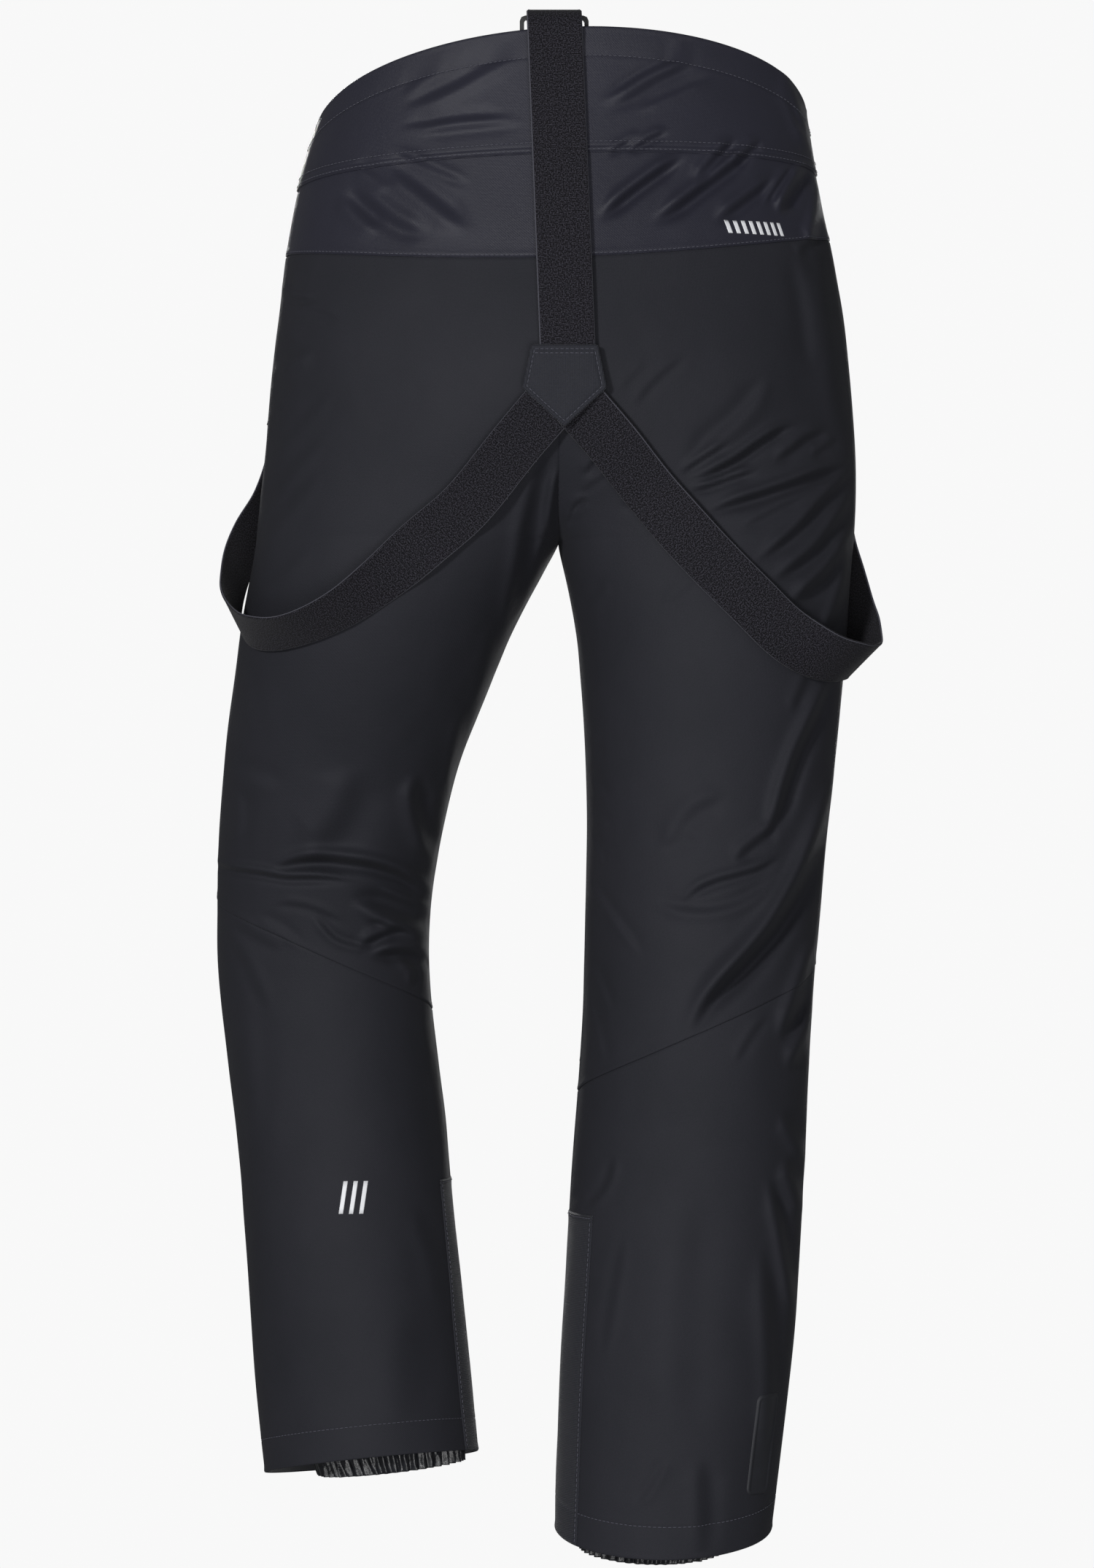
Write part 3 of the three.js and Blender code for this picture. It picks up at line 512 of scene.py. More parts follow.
def distances(points):
    """How far along a line each of its points is."""
    return np.append(0, np.cumsum(np.linalg.norm(np.diff(points, axis=0), axis=1)))


CREASE_DEPTH = 1.4  # every crease is this much deeper than its own depth
CREASE_REACH = 4  # how many times its half width a crease is felt
CREASE_TAPER, CREASE_TIP = 0.28, 0.6  # the share of its length over which it dies out, and its width there
SHADE = (-1, -0.35)  # the way [across, up] that the shaded side of a crease faces


def crease(points, across, height, width, depth):
    """The lift that one crease gives to each place [across, height]."""
    lift = np.zeros(across.shape)
    line = smooth_line(points, 4)
    reach = CREASE_REACH * width
    near = (across > line[:, 0].min() - reach) & (across < line[:, 0].max() + reach)
    near &= (height > line[:, 1].min() - reach) & (height < line[:, 1].max() + reach)
    if not near.any():
        return lift
    x, z = across[near], height[near]
    lengths = distances(line)
    nearest = np.full(x.shape, np.inf)
    signed, along = np.zeros(x.shape), np.zeros(x.shape)
    for start, end, begun in zip(line[:-1], line[1:], lengths[:-1]):
        run = end - start
        size = np.linalg.norm(run)
        held = np.clip(((x - start[0]) * run[0] + (z - start[1]) * run[1]) / size**2, 0, 1)
        gap = np.hypot(x - start[0] - held * run[0], z - start[1] - held * run[1])
        turn = (run[0] * (z - start[1]) - run[1] * (x - start[0])) / size
        closer = gap < nearest
        nearest = np.where(closer, gap, nearest)
        signed = np.where(closer, turn, signed)
        along = np.where(closer, begun + held * size, along)
    share = along / lengths[-1]
    strength = smoothstep(0.0, CREASE_TAPER, share) * (1 - smoothstep(1 - CREASE_TAPER, 1.0, share))
    past_end = np.sqrt(np.maximum(nearest**2 - signed**2, 0)) / width
    chord = line[-1] - line[0]
    towards_shade = np.sign(chord[0] * SHADE[1] - chord[1] * SHADE[0])
    place = signed * towards_shade / (width * (CREASE_TIP + (1 - CREASE_TIP) * strength))
    lift[near] = -depth * strength * np.exp(-(past_end**2)) * place * np.exp(0.5 - place**2 / 2)
    return lift


def value_noise(x, y, z, seed):
    """Smooth noise from -1 to 1 over a lattice with a spacing of 1."""
    cells = [np.floor(a).astype(int) for a in (x, y, z)]
    part = [a - c for a, c in zip((x, y, z), cells)]
    fx, fy, fz = (f * f * (3 - 2 * f) for f in part)

    def corner(i, j, k):
        mixed = np.sin((cells[0] + i) * 127.1 + (cells[1] + j) * 311.7 + (cells[2] + k) * 191.3 + seed * 74.7)
        return 2 * ((mixed * 43758.5453) % 1.0) - 1

    total = np.zeros(np.shape(x))
    for i, wx in ((0, 1 - fx), (1, fx)):
        for j, wy in ((0, 1 - fy), (1, fy)):
            for k, wz in ((0, 1 - fz), (1, fz)):
                total = total + wx * wy * wz * corner(i, j, k)
    return total


# depth, spacing across, spacing up, lean and seed of the slow waves and small dents, in millimetres
DRAPE_WAVES = [(1.8, 70, 150, 0, 3), (0.8, 34, 80, 1 / 160, 8), (0.25, 15, 34, 0, 5)]
WAIST_DRAPE, WAIST_DRAPE_SPAN = 0.3, (-0.10, 0.0)  # the share of the waves that is left round the waist


def drape(place, height):
    """How far the cloth hangs off its smooth shape, in metres. It hangs less round the waist."""
    across, deep, up = (place[..., axis] / MM for axis in range(3))
    lift = 0.0
    for depth, wide, tall, lean, seed in DRAPE_WAVES:
        lift = lift + depth * value_noise(across / wide, deep / wide, up / tall + across * lean, seed)
    below_waist = 1 - smoothstep(*WAIST_DRAPE_SPAN, height)
    return lift * (WAIST_DRAPE + (1 - WAIST_DRAPE) * below_waist) * MM


# the turns over which the creases of the back and front come in at the side, and fade out at the inseam
BACK_COMES_IN, BACK_FADES = (0.46, 0.55), (0.97, 1.0)
FRONT_COMES_IN, FRONT_FADES = (0.45, 0.54), (0.0, 0.05)
INSEAM_SPAN = (CROTCH - 0.03, CROTCH)  # they fade at the inseam only below this span
SEAM_OVERLAP = 0.0005  # how far each side crosses the middle at the rise, so that no light shows through
RISE_HELD, HELD_TURN = (CROTCH - 0.012, CROTCH + 0.004), 0.035  # where the seam of the rise is held straight


def creased(side, u, place, height):
    """How far the creases push the cloth towards the back, in metres; in front they push it forward."""
    across, up = place[..., 0] / MM, place[..., 2] / MM
    below_crotch = 1 - smoothstep(*INSEAM_SPAN, height)
    back = smoothstep(*BACK_COMES_IN, u) * (1 - smoothstep(*BACK_FADES, u) * below_crotch)
    front = (1 - smoothstep(*FRONT_COMES_IN, u)) * (1 - (1 - smoothstep(*FRONT_FADES, u)) * below_crotch)
    push = np.zeros(across.shape)
    for face, share in (("back", back), ("front", -front)):
        for width, depth, points in CREASES[side, face]:
            push += share * crease(points, across, up, width, depth)
    return CREASE_DEPTH * push * MM


def shaped(side, u, height, lift=0.0):
    """A place on the folded cloth, lifted off it in metres. The two sides meet at the middle seam."""
    u, height = np.broadcast_arrays(np.asarray(u, float), np.asarray(height, float))
    place = cloth_point(side, u, height)
    points = off_cloth(side, u, height, drape(place, height) + lift)
    points[..., 1] += creased(side, u, place, height)
    flat = place[..., 0] - side * SEAM_OVERLAP
    in_rise = smoothstep(*RISE_HELD, height)
    from_seam = smoothstep(0.0, HELD_TURN, np.minimum(u, 1 - u))
    hold = in_rise * (1 - from_seam)
    points[..., 0] += (flat - points[..., 0]) * hold
    return points


# ------------------------------------------------------------------ materials

def srgb(red, green, blue):
    """A colour from its values on a screen, 0 to 255."""
    def linear(value):
        value /= 255
        return value / 12.92 if value <= 0.04045 else ((value + 0.055) / 1.055) ** 2.4
    return (linear(red), linear(green), linear(blue), 1)


class Nodes:
    """A short way to add and link a material's nodes."""

    def __init__(self, name):
        self.material = bpy.data.materials.new(name)
        self.material.use_nodes = True
        self.tree = self.material.node_tree
        self.shader = self.tree.nodes["Principled BSDF"]

    def add(self, kind, inputs=(), **settings):
        node = self.tree.nodes.new(kind)
        for key, value in settings.items():
            setattr(node, key, value)
        for key, value in dict(inputs).items():
            self.set(node, key, value)
        return node

    def set(self, node, key, value):
        if isinstance(value, bpy.types.NodeSocket):
            self.tree.links.new(value, node.inputs[key])
        else:
            node.inputs[key].default_value = value

    def cloth_place(self):
        return self.add("ShaderNodeUVMap", uv_map="cloth").outputs[0]

    def place(self):
        return self.add("ShaderNodeTexCoord").outputs["Object"]

    def noise(self, vector, scale, detail=3.0, roughness=0.5):
        inputs = {"Vector": vector, "Scale": scale, "Detail": detail, "Roughness": roughness}
        return self.add("ShaderNodeTexNoise", inputs).outputs[0]

    def threads(self, vector, count, direction):
        """A wave from 0 to 1 with that many threads in each metre."""
        inputs = {"Vector": vector, "Scale": count * math.pi / 10}
        return self.add("ShaderNodeTexWave", inputs, bands_direction=direction).outputs[1]

    def woven(self, vector, across, along):
        """Threads both ways, with those numbers of them in each metre."""
        return self.maths("MULTIPLY", self.threads(vector, across, "X"), self.threads(vector, along, "Y"))

    def maths(self, operation, first, second=0.0):
        return self.add("ShaderNodeMath", {0: first, 1: second}, operation=operation).outputs[0]

    def shares(self, first, first_share, second, second_share):
        parts = self.maths("MULTIPLY", first, first_share), self.maths("MULTIPLY", second, second_share)
        return self.maths("ADD", *parts)

    def span(self, value, low, high, from_low=0.0, from_high=1.0):
        inputs = {0: value, 1: from_low, 2: from_high, 3: low, 4: high}
        return self.add("ShaderNodeMapRange", inputs).outputs[0]

    def mix(self, share, first, second):
        node = self.add("ShaderNodeMix", data_type="RGBA")
        for key, value in ((0, share), (6, first), (7, second)):
            self.set(node, key, value)
        return node.outputs[2]

    def bump(self, height, distance, strength=1.0, under=None):
        inputs = {"Height": height, "Distance": distance, "Strength": strength}
        if under is not None:
            inputs["Normal"] = under
        return self.add("ShaderNodeBump", inputs).outputs[0]

    def dress(self, colour, rough, normal, specular=0.5, **fixed):
        self.set(self.shader, "Base Color", colour)
        self.set(self.shader, "Roughness", rough)
        self.set(self.shader, "Normal", normal)
        self.shader.inputs["Specular IOR Level"].default_value = specular
        for key, value in fixed.items():
            self.shader.inputs[key.replace("_", " ")].default_value = value
        return self.material


def shell_cloth(name, dark, light, sheen, rough, specular):
    """A fine matt twill, mottled a little, with a soft unevenness from its padding."""
    n = Nodes(name)
    cloth, place = n.cloth_place(), n.place()
    weave = n.woven(cloth, 1500, 1500)
    twill = n.maths("MULTIPLY_ADD", n.threads(cloth, 1100, "DIAGONAL"), 0.6)
    n.set(twill.node, 2, weave)
    mottle = n.noise(place, 8.0, 4.0, 0.6)
    speckle = n.noise(cloth, 1100.0, 2.0, 0.7)
    tone = n.shares(mottle, 0.45, speckle, 0.55)
    colour = n.mix(n.span(tone, 0.0, 1.0, 0.3, 0.7), dark, light)
    padding = n.bump(n.noise(place, 45.0, 3.0, 0.55), 0.0007, 0.5)
    grain = n.bump(n.noise(cloth, 420.0, 3.0, 0.6), 0.00022, 0.7, padding)
    normal = n.bump(twill, 0.00010, 0.7, grain)
    return n.dress(colour, n.span(n.noise(place, 22.0), rough - 0.05, rough + 0.07), normal, specular,
                   Sheen_Weight=sheen, Sheen_Roughness=0.45)


WEBBING, WEBBING_THICK = 0.040, 0.0018
SELVEDGE = srgb(88, 88, 97)


def elastic_knit(name, dark, light):
    """Knitted elastic: fine ribs along it, a pale speckle, and plain selvedges."""
    n = Nodes(name)
    cloth = n.cloth_place()
    ribs = n.woven(cloth, 900, 650)
    speckle = n.noise(cloth, 1000.0, 1.0, 0.5)
    tone = n.shares(speckle, 0.95, ribs, 0.08)
    across = n.add("ShaderNodeSeparateXYZ", {0: cloth}).outputs[0]
    from_edge = n.maths("PINGPONG", across, WEBBING / 2)
    knit = n.mix(n.span(tone, 0.0, 1.0, 0.42, 0.66), dark, light)
    colour = n.mix(n.span(from_edge, 0.8, 0.0, 0.0003, 0.0008), knit, SELVEDGE)
    return n.dress(colour, n.span(speckle, 0.8, 0.95), n.bump(tone, 0.0004, 0.9), 0.15,
                   Sheen_Weight=0.05, Sheen_Roughness=0.5)


def hard_weave(name, dark, light):
    """A coarser basket weave."""
    n = Nodes(name)
    cloth = n.cloth_place()
    weave = n.woven(cloth, 800, 800)
    speckle = n.noise(cloth, 700.0, 2.0, 0.7)
    tone = n.shares(weave, 0.4, speckle, 0.6)
    colour = n.mix(n.span(tone, 0.0, 1.0, 0.25, 0.75), dark, light)
    return n.dress(colour, n.span(n.noise(cloth, 120.0), 0.62, 0.78), n.bump(weave, 0.00025, 0.9), 0.25,
                   Sheen_Weight=0.12, Sheen_Roughness=0.4)


def glossy_nylon(name, dark, light):
    """Thin shiny nylon with small crinkles."""
    n = Nodes(name)
    cloth = n.cloth_place()
    weave = n.woven(cloth, 1200, 1200)
    crinkle = n.noise(cloth, 260.0, 4.0, 0.6)
    colour = n.mix(n.span(crinkle, 0.0, 1.0, 0.3, 0.7), dark, light)
    normal = n.bump(weave, 0.00006, 0.5, n.bump(crinkle, 0.0009, 0.6))
    return n.dress(colour, n.span(n.noise(cloth, 150.0), 0.22, 0.36), normal, 0.6)


def moulded_plastic(name, dark, light, rough=0.42):
    """Hard plastic or rubber with a fine grain."""
    n = Nodes(name)
    place = n.place()
    grain = n.noise(place, 1600.0, 3.0)
    colour = n.mix(n.noise(place, 70.0, 3.0), dark, light)
    return n.dress(colour, n.span(grain, rough - 0.08, rough + 0.10), n.bump(grain, 0.00008, 0.6), 0.4)


def dark_metal(name, dark, light):
    """Black nickel, rubbed brighter here and there."""
    n = Nodes(name)
    place = n.place()
    wear = n.noise(place, 220.0, 5.0, 0.65)
    colour = n.mix(n.span(wear, 0.0, 1.0, 0.45, 0.75), dark, light)
    return n.dress(colour, n.span(wear, 0.26, 0.42), n.bump(wear, 0.00005, 0.5), 0.5, Metallic=0.9)


def brushed_lining(name, dark, light):
    """A matt lining with a soft nap."""
    n = Nodes(name)
    place = n.place()
    nap = n.noise(place, 800.0, 4.0, 0.7)
    patchy = n.noise(place, 30.0, 3.0)
    tone = n.shares(nap, 0.7, patchy, 0.3)
    return n.dress(n.mix(tone, dark, light), n.span(nap, 0.85, 0.98), n.bump(nap, 0.0004, 0.8), 0.2,
                   Sheen_Weight=0.3, Sheen_Roughness=0.6)


def reflective_film(name, dark, light):
    """A pale film of fine glass beads."""
    n = Nodes(name)
    place = n.place()
    beads = n.noise(place, 2200.0, 2.0, 0.8)
    return n.dress(n.mix(beads, dark, light), n.span(beads, 0.35, 0.55), n.bump(beads, 0.00005, 0.5), 0.5)


def sewing_thread(name, dark, light):
    """Twisted thread, a little paler than the cloth."""
    n = Nodes(name)
    twist = n.noise(n.place(), 1800.0, 2.0)
    return n.dress(n.mix(twist, dark, light), n.span(twist, 0.5, 0.7), n.bump(twist, 0.0001, 0.7), 0.3)


LOOKS = {
    "shell": shell_cloth("shell_cloth", srgb(35, 36, 41), srgb(45, 45, 51), 0.02, 0.68, 0.14),
    "yoke_shell": shell_cloth("yoke_cloth", srgb(36, 36, 45), srgb(45, 45, 56), 0.03, 0.46, 0.24),
    "lining": brushed_lining("brushed_lining", srgb(30, 31, 35), srgb(42, 43, 49)),
    "elastic": elastic_knit("elastic_knit", srgb(11, 10, 14), srgb(55, 54, 61)),
    "patch": hard_weave("hard_weave", srgb(33, 34, 40), srgb(45, 46, 55)),
    "gaiter": glossy_nylon("glossy_nylon", srgb(16, 17, 20), srgb(32, 33, 38)),
    "plastic": moulded_plastic("moulded_plastic", srgb(20, 20, 22), srgb(28, 28, 31)),
    "pressed": moulded_plastic("pressed_rubber", srgb(30, 31, 36), srgb(38, 39, 45), 0.62),
    "metal": dark_metal("black_nickel", srgb(52, 53, 57), srgb(96, 97, 102)),
    "reflective": reflective_film("reflective_film", srgb(225, 226, 230), srgb(240, 241, 244)),
    "thread": sewing_thread("sewing_thread", srgb(54, 54, 61), srgb(100, 100, 112)),
}


# ------------------------------------------------------------------ meshes

def new_object(name, verts, faces, corner_uv=None):
    mesh = bpy.data.meshes.new(name)
    mesh.from_pydata(np.asarray(verts).reshape(-1, 3).tolist(), [], [list(map(int, face)) for face in faces])
    mesh.polygons.foreach_set("use_smooth", [True] * len(mesh.polygons))
    if corner_uv is not None:
        layer = mesh.uv_layers.new(name="cloth")
        layer.data.foreach_set("uv", np.asarray(corner_uv, np.float32).reshape(-1))
    mesh.update()
    piece = bpy.data.objects.new(name, mesh)
    bpy.context.scene.collection.objects.link(piece)
    return piece


def numbered(*shape):
    """The numbers of points that lie in order in a grid of that shape."""
    return np.arange(math.prod(shape)).reshape(shape)


def quads_of(index):
    """The corners of each quad between the rows and columns (the last two axes) of numbered points."""
    quads = [index[..., :-1, :-1], index[..., :-1, 1:], index[..., 1:, 1:], index[..., 1:, :-1]]
    return np.stack(quads, -1).reshape(-1, 4)


def round_quads_of(index):
    """The same for rows that close on themselves."""
    return quads_of(np.concatenate([index, index[..., :1]], axis=-1))


def grid_object(name, points, uv):
    """A sheet of quads from rows of points, with its place on flat cloth (uv) in metres."""
    quads = quads_of(numbered(*points.shape[:2]))
    return new_object(name, points, quads, uv.reshape(-1, 2)[quads.reshape(-1)])


def loft(name, rings):
    """A closed skin through rings of points, with the same number of points in each ring."""
    rings = np.asarray(rings, float)
    count, around = rings.shape[:2]
    index = numbered(count, around)
    faces = round_quads_of(index).tolist() + [index[0][::-1].tolist(), index[-1].tolist()]
    steps_round = np.linalg.norm(np.roll(rings, -1, axis=1) - rings, axis=-1).mean(0)
    round_at = np.append(0, np.cumsum(steps_round))
    flat = np.stack(np.meshgrid(round_at, distances(rings.mean(1))), -1).reshape(-1, 2)
    corners = flat[quads_of(numbered(count, around + 1)).reshape(-1)]
    ends = np.zeros((2 * around, 2))
    return new_object(name, rings, faces, np.vstack([corners, ends]))


def lay_flat(piece):
    """Lays the cloth of an upright flat piece out as it is seen from the front or the back."""
    mesh = piece.data
    corners = mesh.uv_layers["cloth"].data
    for loop, corner in zip(mesh.loops, corners):
        place = mesh.vertices[loop.vertex_index].co
        corner.uv = (place.x, place.z)


def solidify(piece, thickness):
    modifier = piece.modifiers.new("thickness", "SOLIDIFY")
    modifier.thickness = thickness
    modifier.offset = -1
    modifier.use_even_offset = False
    if len(piece.data.materials) > 1:
        modifier.material_offset = 1
    return piece


FACES_SKIPPED = 97  # one face in so many is enough to tell which way a sheet faces


def face_outwards(piece, middle_of):
    """Turns the faces of a sheet away from the middle of what it wraps."""
    mesh = piece.data
    outward = 0.0
    for polygon in list(mesh.polygons)[::FACES_SKIPPED]:
        outward += polygon.normal.dot(polygon.center - Vector(middle_of(polygon.center.z)))
    if outward < 0:
        mesh.flip_normals()


def leg_middle(side):
    def middle(height):
        if height > CROTCH + 0.03:
            return (0, 0, height)
        across, depth = leg_at[side](height)[:2]
        return (side * float(across), float(depth), height)
    return middle


# ------------------------------------------------------------------ panels

ALL_ROUND = 0.54  # the way round a leg, which turns shares of the way round into metres
PANEL_SPACING = 0.0021
SEAM_ALLOWANCE = 0.003  # how far a panel runs on under its neighbour
NEAR_EDGE = (0.0, 0.0005, 0.0012, 0.0024, 0.0038, 0.0055)
NEAR_TUCK = (-SEAM_ALLOWANCE, -0.0012, 0.0, 0.0012, 0.0026, 0.0045)
BESIDE_STITCHES = (-0.0013, -0.0005, 0.0005, 0.0013)
# the height and the width of each small wave beside an edge or a row of stitches
EDGE_ROLL, EDGE_DROP = (0.0005, 0.004), (-0.0006, 0.0006)
STITCH_GROOVE, STITCH_PUFF = (-0.00035, 0.0007), (0.00015, 0.0040)
TUCK_DEPTH, TUCK_REACH = 0.0007, 0.0012


def ripple(gap, rise, width):
    return rise * np.exp(-((gap / width) ** 2))


class Edge:
    """How a panel ends: "over" its neighbour with a rolled edge, "under" it, or with a folded "hem"."""

    def __init__(self, kind, stitches=()):
        self.kind = kind
        self.stitches = stitches

    def places(self):
        near = list(NEAR_TUCK if self.kind == "under" else NEAR_EDGE)
        for distance in self.stitches:
            near += [distance + beside for beside in BESIDE_STITCHES]
        return sorted(near)

    def lift(self, gap):
        if self.kind == "under":
            off = -TUCK_DEPTH * (1 - smoothstep(0.0, TUCK_REACH, gap))
        else:
            off = ripple(gap, *EDGE_ROLL) + ripple(gap, *EDGE_DROP)
        for distance in self.stitches:
            off = off + ripple(gap - distance, *STITCH_GROOVE)
            off = off + ripple(gap - distance, *STITCH_PUFF)
        return off


OVER, UNDER = Edge("over"), Edge("under")


def spread(length, start, end, spacing):
    """Distances from the start to the end of a length, closer together near both ends."""
    near = np.array(start.places())
    far = length - np.array(end.places())[::-1]
    count = max(int(round((far[0] - near[-1]) / spacing)), 1)
    return np.concatenate([near, np.linspace(near[-1], far[0], count + 1)[1:-1], far])


def edge_rows(low, high, foot, top, spacing):
    """Heights for each column from its own foot to its own top, with the same rows near both edges in all."""
    near, far = np.array(foot.places()), np.array(top.places())[::-1]
    tall = float(np.max(high - low))
    count = max(int(round((tall - near[-1] - far[0]) / spacing)), 1)
    share = np.linspace(0, 1, count + 1)[1:-1, None]
    first, last = (low + near[-1])[None], (high - far[0])[None]
    return np.vstack([low[None] + near[:, None], first + (last - first) * share, high[None] - far[:, None]])


def panel(name, place, middle, length, low, high, ends, edges, lift=0.0, thickness=0.0016,
          spacing=PANEL_SPACING):
    """A panel of cloth and its thickness. place gives the side and the turn at each distance round it."""
    foot, top = edges
    distance = spread(length, *ends, spacing)
    side_of, u = place(distance)
    lows = np.array([low(s, a) for s, a in zip(side_of, u)])
    highs = np.array([high(s, a) for s, a in zip(side_of, u)])
    height = edge_rows(lows, highs, foot, top, spacing)
    off = lift + foot.lift(height - lows) + top.lift(highs - height)
    off = off + ends[0].lift(distance) + ends[1].lift(length - distance)
    points, plain = np.zeros(height.shape + (3,)), np.zeros(height.shape + (3,))
    wide_u = np.broadcast_to(u, height.shape)
    for side in (LEFT, RIGHT):
        mine = side_of == side
        if mine.any():
            points[:, mine] = shaped(side, wide_u[:, mine], height[:, mine], off[:, mine])
            plain[:, mine] = cloth_point(side, wide_u[:, mine], height[:, mine])
    piece = grid_object(name, points, np.stack(np.broadcast_arrays(distance, height), -1))
    face_outwards(piece, middle)
    piece["flat_area"] = grid_area(plain)
    piece["flat_size"] = grid_size(points)
    return piece, thickness


def grid_area(points):
    first = points[1:, 1:] - points[:-1, :-1]
    second = points[1:, :-1] - points[:-1, 1:]
    return float(np.linalg.norm(np.cross(first, second), axis=-1).sum() / 2)


def grid_size(points):
    """The longest way across and the longest way up a grid of points."""
    across = np.linalg.norm(np.diff(points, axis=1), axis=-1).sum(1).max()
    up = np.linalg.norm(np.diff(points, axis=0), axis=-1).sum(0).max()
    return float(across), float(up)


def leg_panel(name, side, turns, low, high, ends, edges, **how):
    """A panel of one leg between two turns (u, which may pass 0) and between two edges."""
    length = (turns[1] - turns[0]) * ALL_ROUND

    def place(distance):
        u = turns[0] + distance / ALL_ROUND
        return np.full(u.shape, side), np.where(u < 0, u + 1, u)

    return panel(name, place, leg_middle(side), length, low, high, ends, edges, **how)


def back_panel(name, low, high, edges, **how):
    """A panel from the left side seam over the centre back to the right side seam."""
    length = ALL_ROUND

    def place(distance):
        turn = distance / length - 0.5
        return np.where(turn <= 0, LEFT, RIGHT), 1 - np.abs(turn)

    return panel(name, place, lambda height: (0, 0, height), length, low, high, (OVER, OVER), edges, **how)


def finish(piece, look, slot=None, body="root", bend=None, replaces=(), thickness=None, inside=None):
    """Gives a piece its material and its thickness, ties it to its body or, when a leg is given as bend, only
    bakes its place into its mesh, and hides the nodes that it replaces.
    """
    piece.data.materials.clear()
    piece.data.materials.append(LOOKS[look])
    if inside:
        piece.data.materials.append(LOOKS[inside])
    if thickness:
        solidify(piece, thickness)
    if bend is not None:
        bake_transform(piece)
    else:
        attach(piece, body)
    if replaces:
        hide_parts(*replaces)
    slot or look
    return piece


def cloth(built, look, held="hung", rests_on=(), **how):
    """Its flat size is worked out from the panel itself."""
    piece, thickness = built
    finish(piece, look, thickness=thickness, **how)
    flat = tuple(round(size, 3) for size in piece["flat_size"])
    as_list(rests_on)


def raised(edge, by):
    return lambda side, u: edge(side, u) + by


def level(height):
    return lambda _, u: np.full(np.shape(u), height)


# how far below an edge, or above it, each row of stitches runs
TOP_STITCHES, FRONT_TOP_STITCHES, YOKE_STITCHES, HEM_STITCHES = 0.0215, 0.004, 0.0018, 0.0235
HEM = Edge("hem", (HEM_STITCHES,))
BAND_OVERLAP = 0.002  # how far the waistband runs on below its seam
BAND_LIFT, BAND_THICK = 0.0007, 0.0022


def make_waist():
    stitched_foot, stitched_top = Edge("over", (0.0018, 0.0048)), Edge("hem", (TOP_STITCHES,))
    foot = raised(waist_seam, -BAND_OVERLAP)
    band = back_panel("kidney_panel", foot, top_edge, (stitched_foot, stitched_top), lift=BAND_LIFT,
                      thickness=BAND_THICK)
    cloth(band, "yoke_shell", rests_on=["yoke"], replaces=["back_waistband"])
    facing = back_panel("kidney_panel_facing", raised(waist_seam, 0.003), raised(top_edge, -0.0015),
                        (OVER, OVER), lift=-0.0030, thickness=0.0012, spacing=0.006)
    cloth(facing, "lining", rests_on=["kidney_panel"], replaces=["back_waistband_lining"])
    yoke = back_panel("yoke", yoke_seam, waist_seam, (Edge("over", (YOKE_STITCHES,)), UNDER))
    cloth(yoke, "yoke_shell", rests_on=["kidney_panel"], replaces=["back_yoke"], inside="lining")
    for side in (LEFT, RIGHT):
        name = SIDE_NAMES[side]
        edges = (stitched_foot, Edge("hem", (FRONT_TOP_STITCHES,)))
        band = leg_panel(f"waistband_front_{name}", side, (0.0, 0.5), foot, top_edge, (OVER, UNDER), edges,
                         lift=BAND_LIFT, thickness=BAND_THICK)
        cloth(band, "yoke_shell", replaces=[f"front_waistband_{name}"], inside="lining",
              rests_on=[f"thigh_cloth_{name}"])


# Each panel of a leg: name, turns and side edges, foot and its edge, top, what it rests on, what it replaces.
BACK, FRONT = ((0.5, 1.0), (OVER, OVER)), ((0.0, 0.5), (UNDER, UNDER))
LEG_PANELS = [
    ("seat_cloth", BACK, (calf_seam, OVER), yoke_seam, "yoke", ("seat_panel", "knee_back")),
    ("calf_cloth", BACK, (hem_edge, HEM), calf_seam, "seat_cloth", ("calf_panel",)),
    ("thigh_cloth", FRONT, (knee_top, OVER), waist_seam, "waistband_front", ("front_panel",)),
    ("knee_cloth", FRONT, (knee_foot, OVER), knee_top, "thigh_cloth", ("knee_front",)),
    ("shin_cloth", FRONT, (hem_edge, HEM), knee_foot, "knee_cloth", ("shin_panel",)),
]


def make_leg(side):
    name = SIDE_NAMES[side]
    for title, (turns, ends), (foot, foot_edge), top, neighbour, nodes in LEG_PANELS:
        built = leg_panel(f"{title}_{name}", side, turns, foot, top, ends, (foot_edge, UNDER))
        rests_on = neighbour if neighbour == "yoke" else f"{neighbour}_{name}"
        cloth(built, "shell", bend=side, inside="lining", rests_on=[rests_on],
              replaces=[f"{node}_{name}" for node in nodes])


KICK_PATCH_TURNS = {LEFT: (-0.07, 0.15), RIGHT: (-0.10, 0.15)}
KICK_PATCH_BELOW_KNEE, KICK_PATCH_STITCHES = 0.202, 0.0025


def make_kick_patch(side):
    name = SIDE_NAMES[side]
    top = KNEES[side].z - KICK_PATCH_BELOW_KNEE
    stitched = Edge("over", (KICK_PATCH_STITCHES,))
    patch = leg_panel(f"kick_cloth_{name}", side, KICK_PATCH_TURNS[side], raised(hem_edge, 0.0005),
                      level(top), (stitched, stitched), (HEM, stitched), lift=0.0005, thickness=0.0009)
    cloth(patch, "patch", body=f"shin_{name}", replaces=[f"kick_patch_{name}"], held="stretched",
          rests_on=[f"calf_cloth_{name}", f"shin_cloth_{name}"])


GAITER_FEET = {LEFT: (-0.963, 0.006, 0.002), RIGHT: (-1.006, 0.001, -0.005)}
GAITER_LENGTH, GAITER_TAPE, GAITER_CLEARANCE = 0.125, 0.012, 0.008
GAITER_DRAW = (0.019, 0.016)  # how far its foot is drawn in across and in depth
GAITER_SHIFT = {LEFT: 0.015, RIGHT: 0.008}  # how far its foot shifts towards the inseam
GAITER_PLEATS = 46
GAITER_COLUMNS = 12 * GAITER_PLEATS
PLEAT_DEPTH, PUCKER_DEPTH = 0.0025, 0.0007


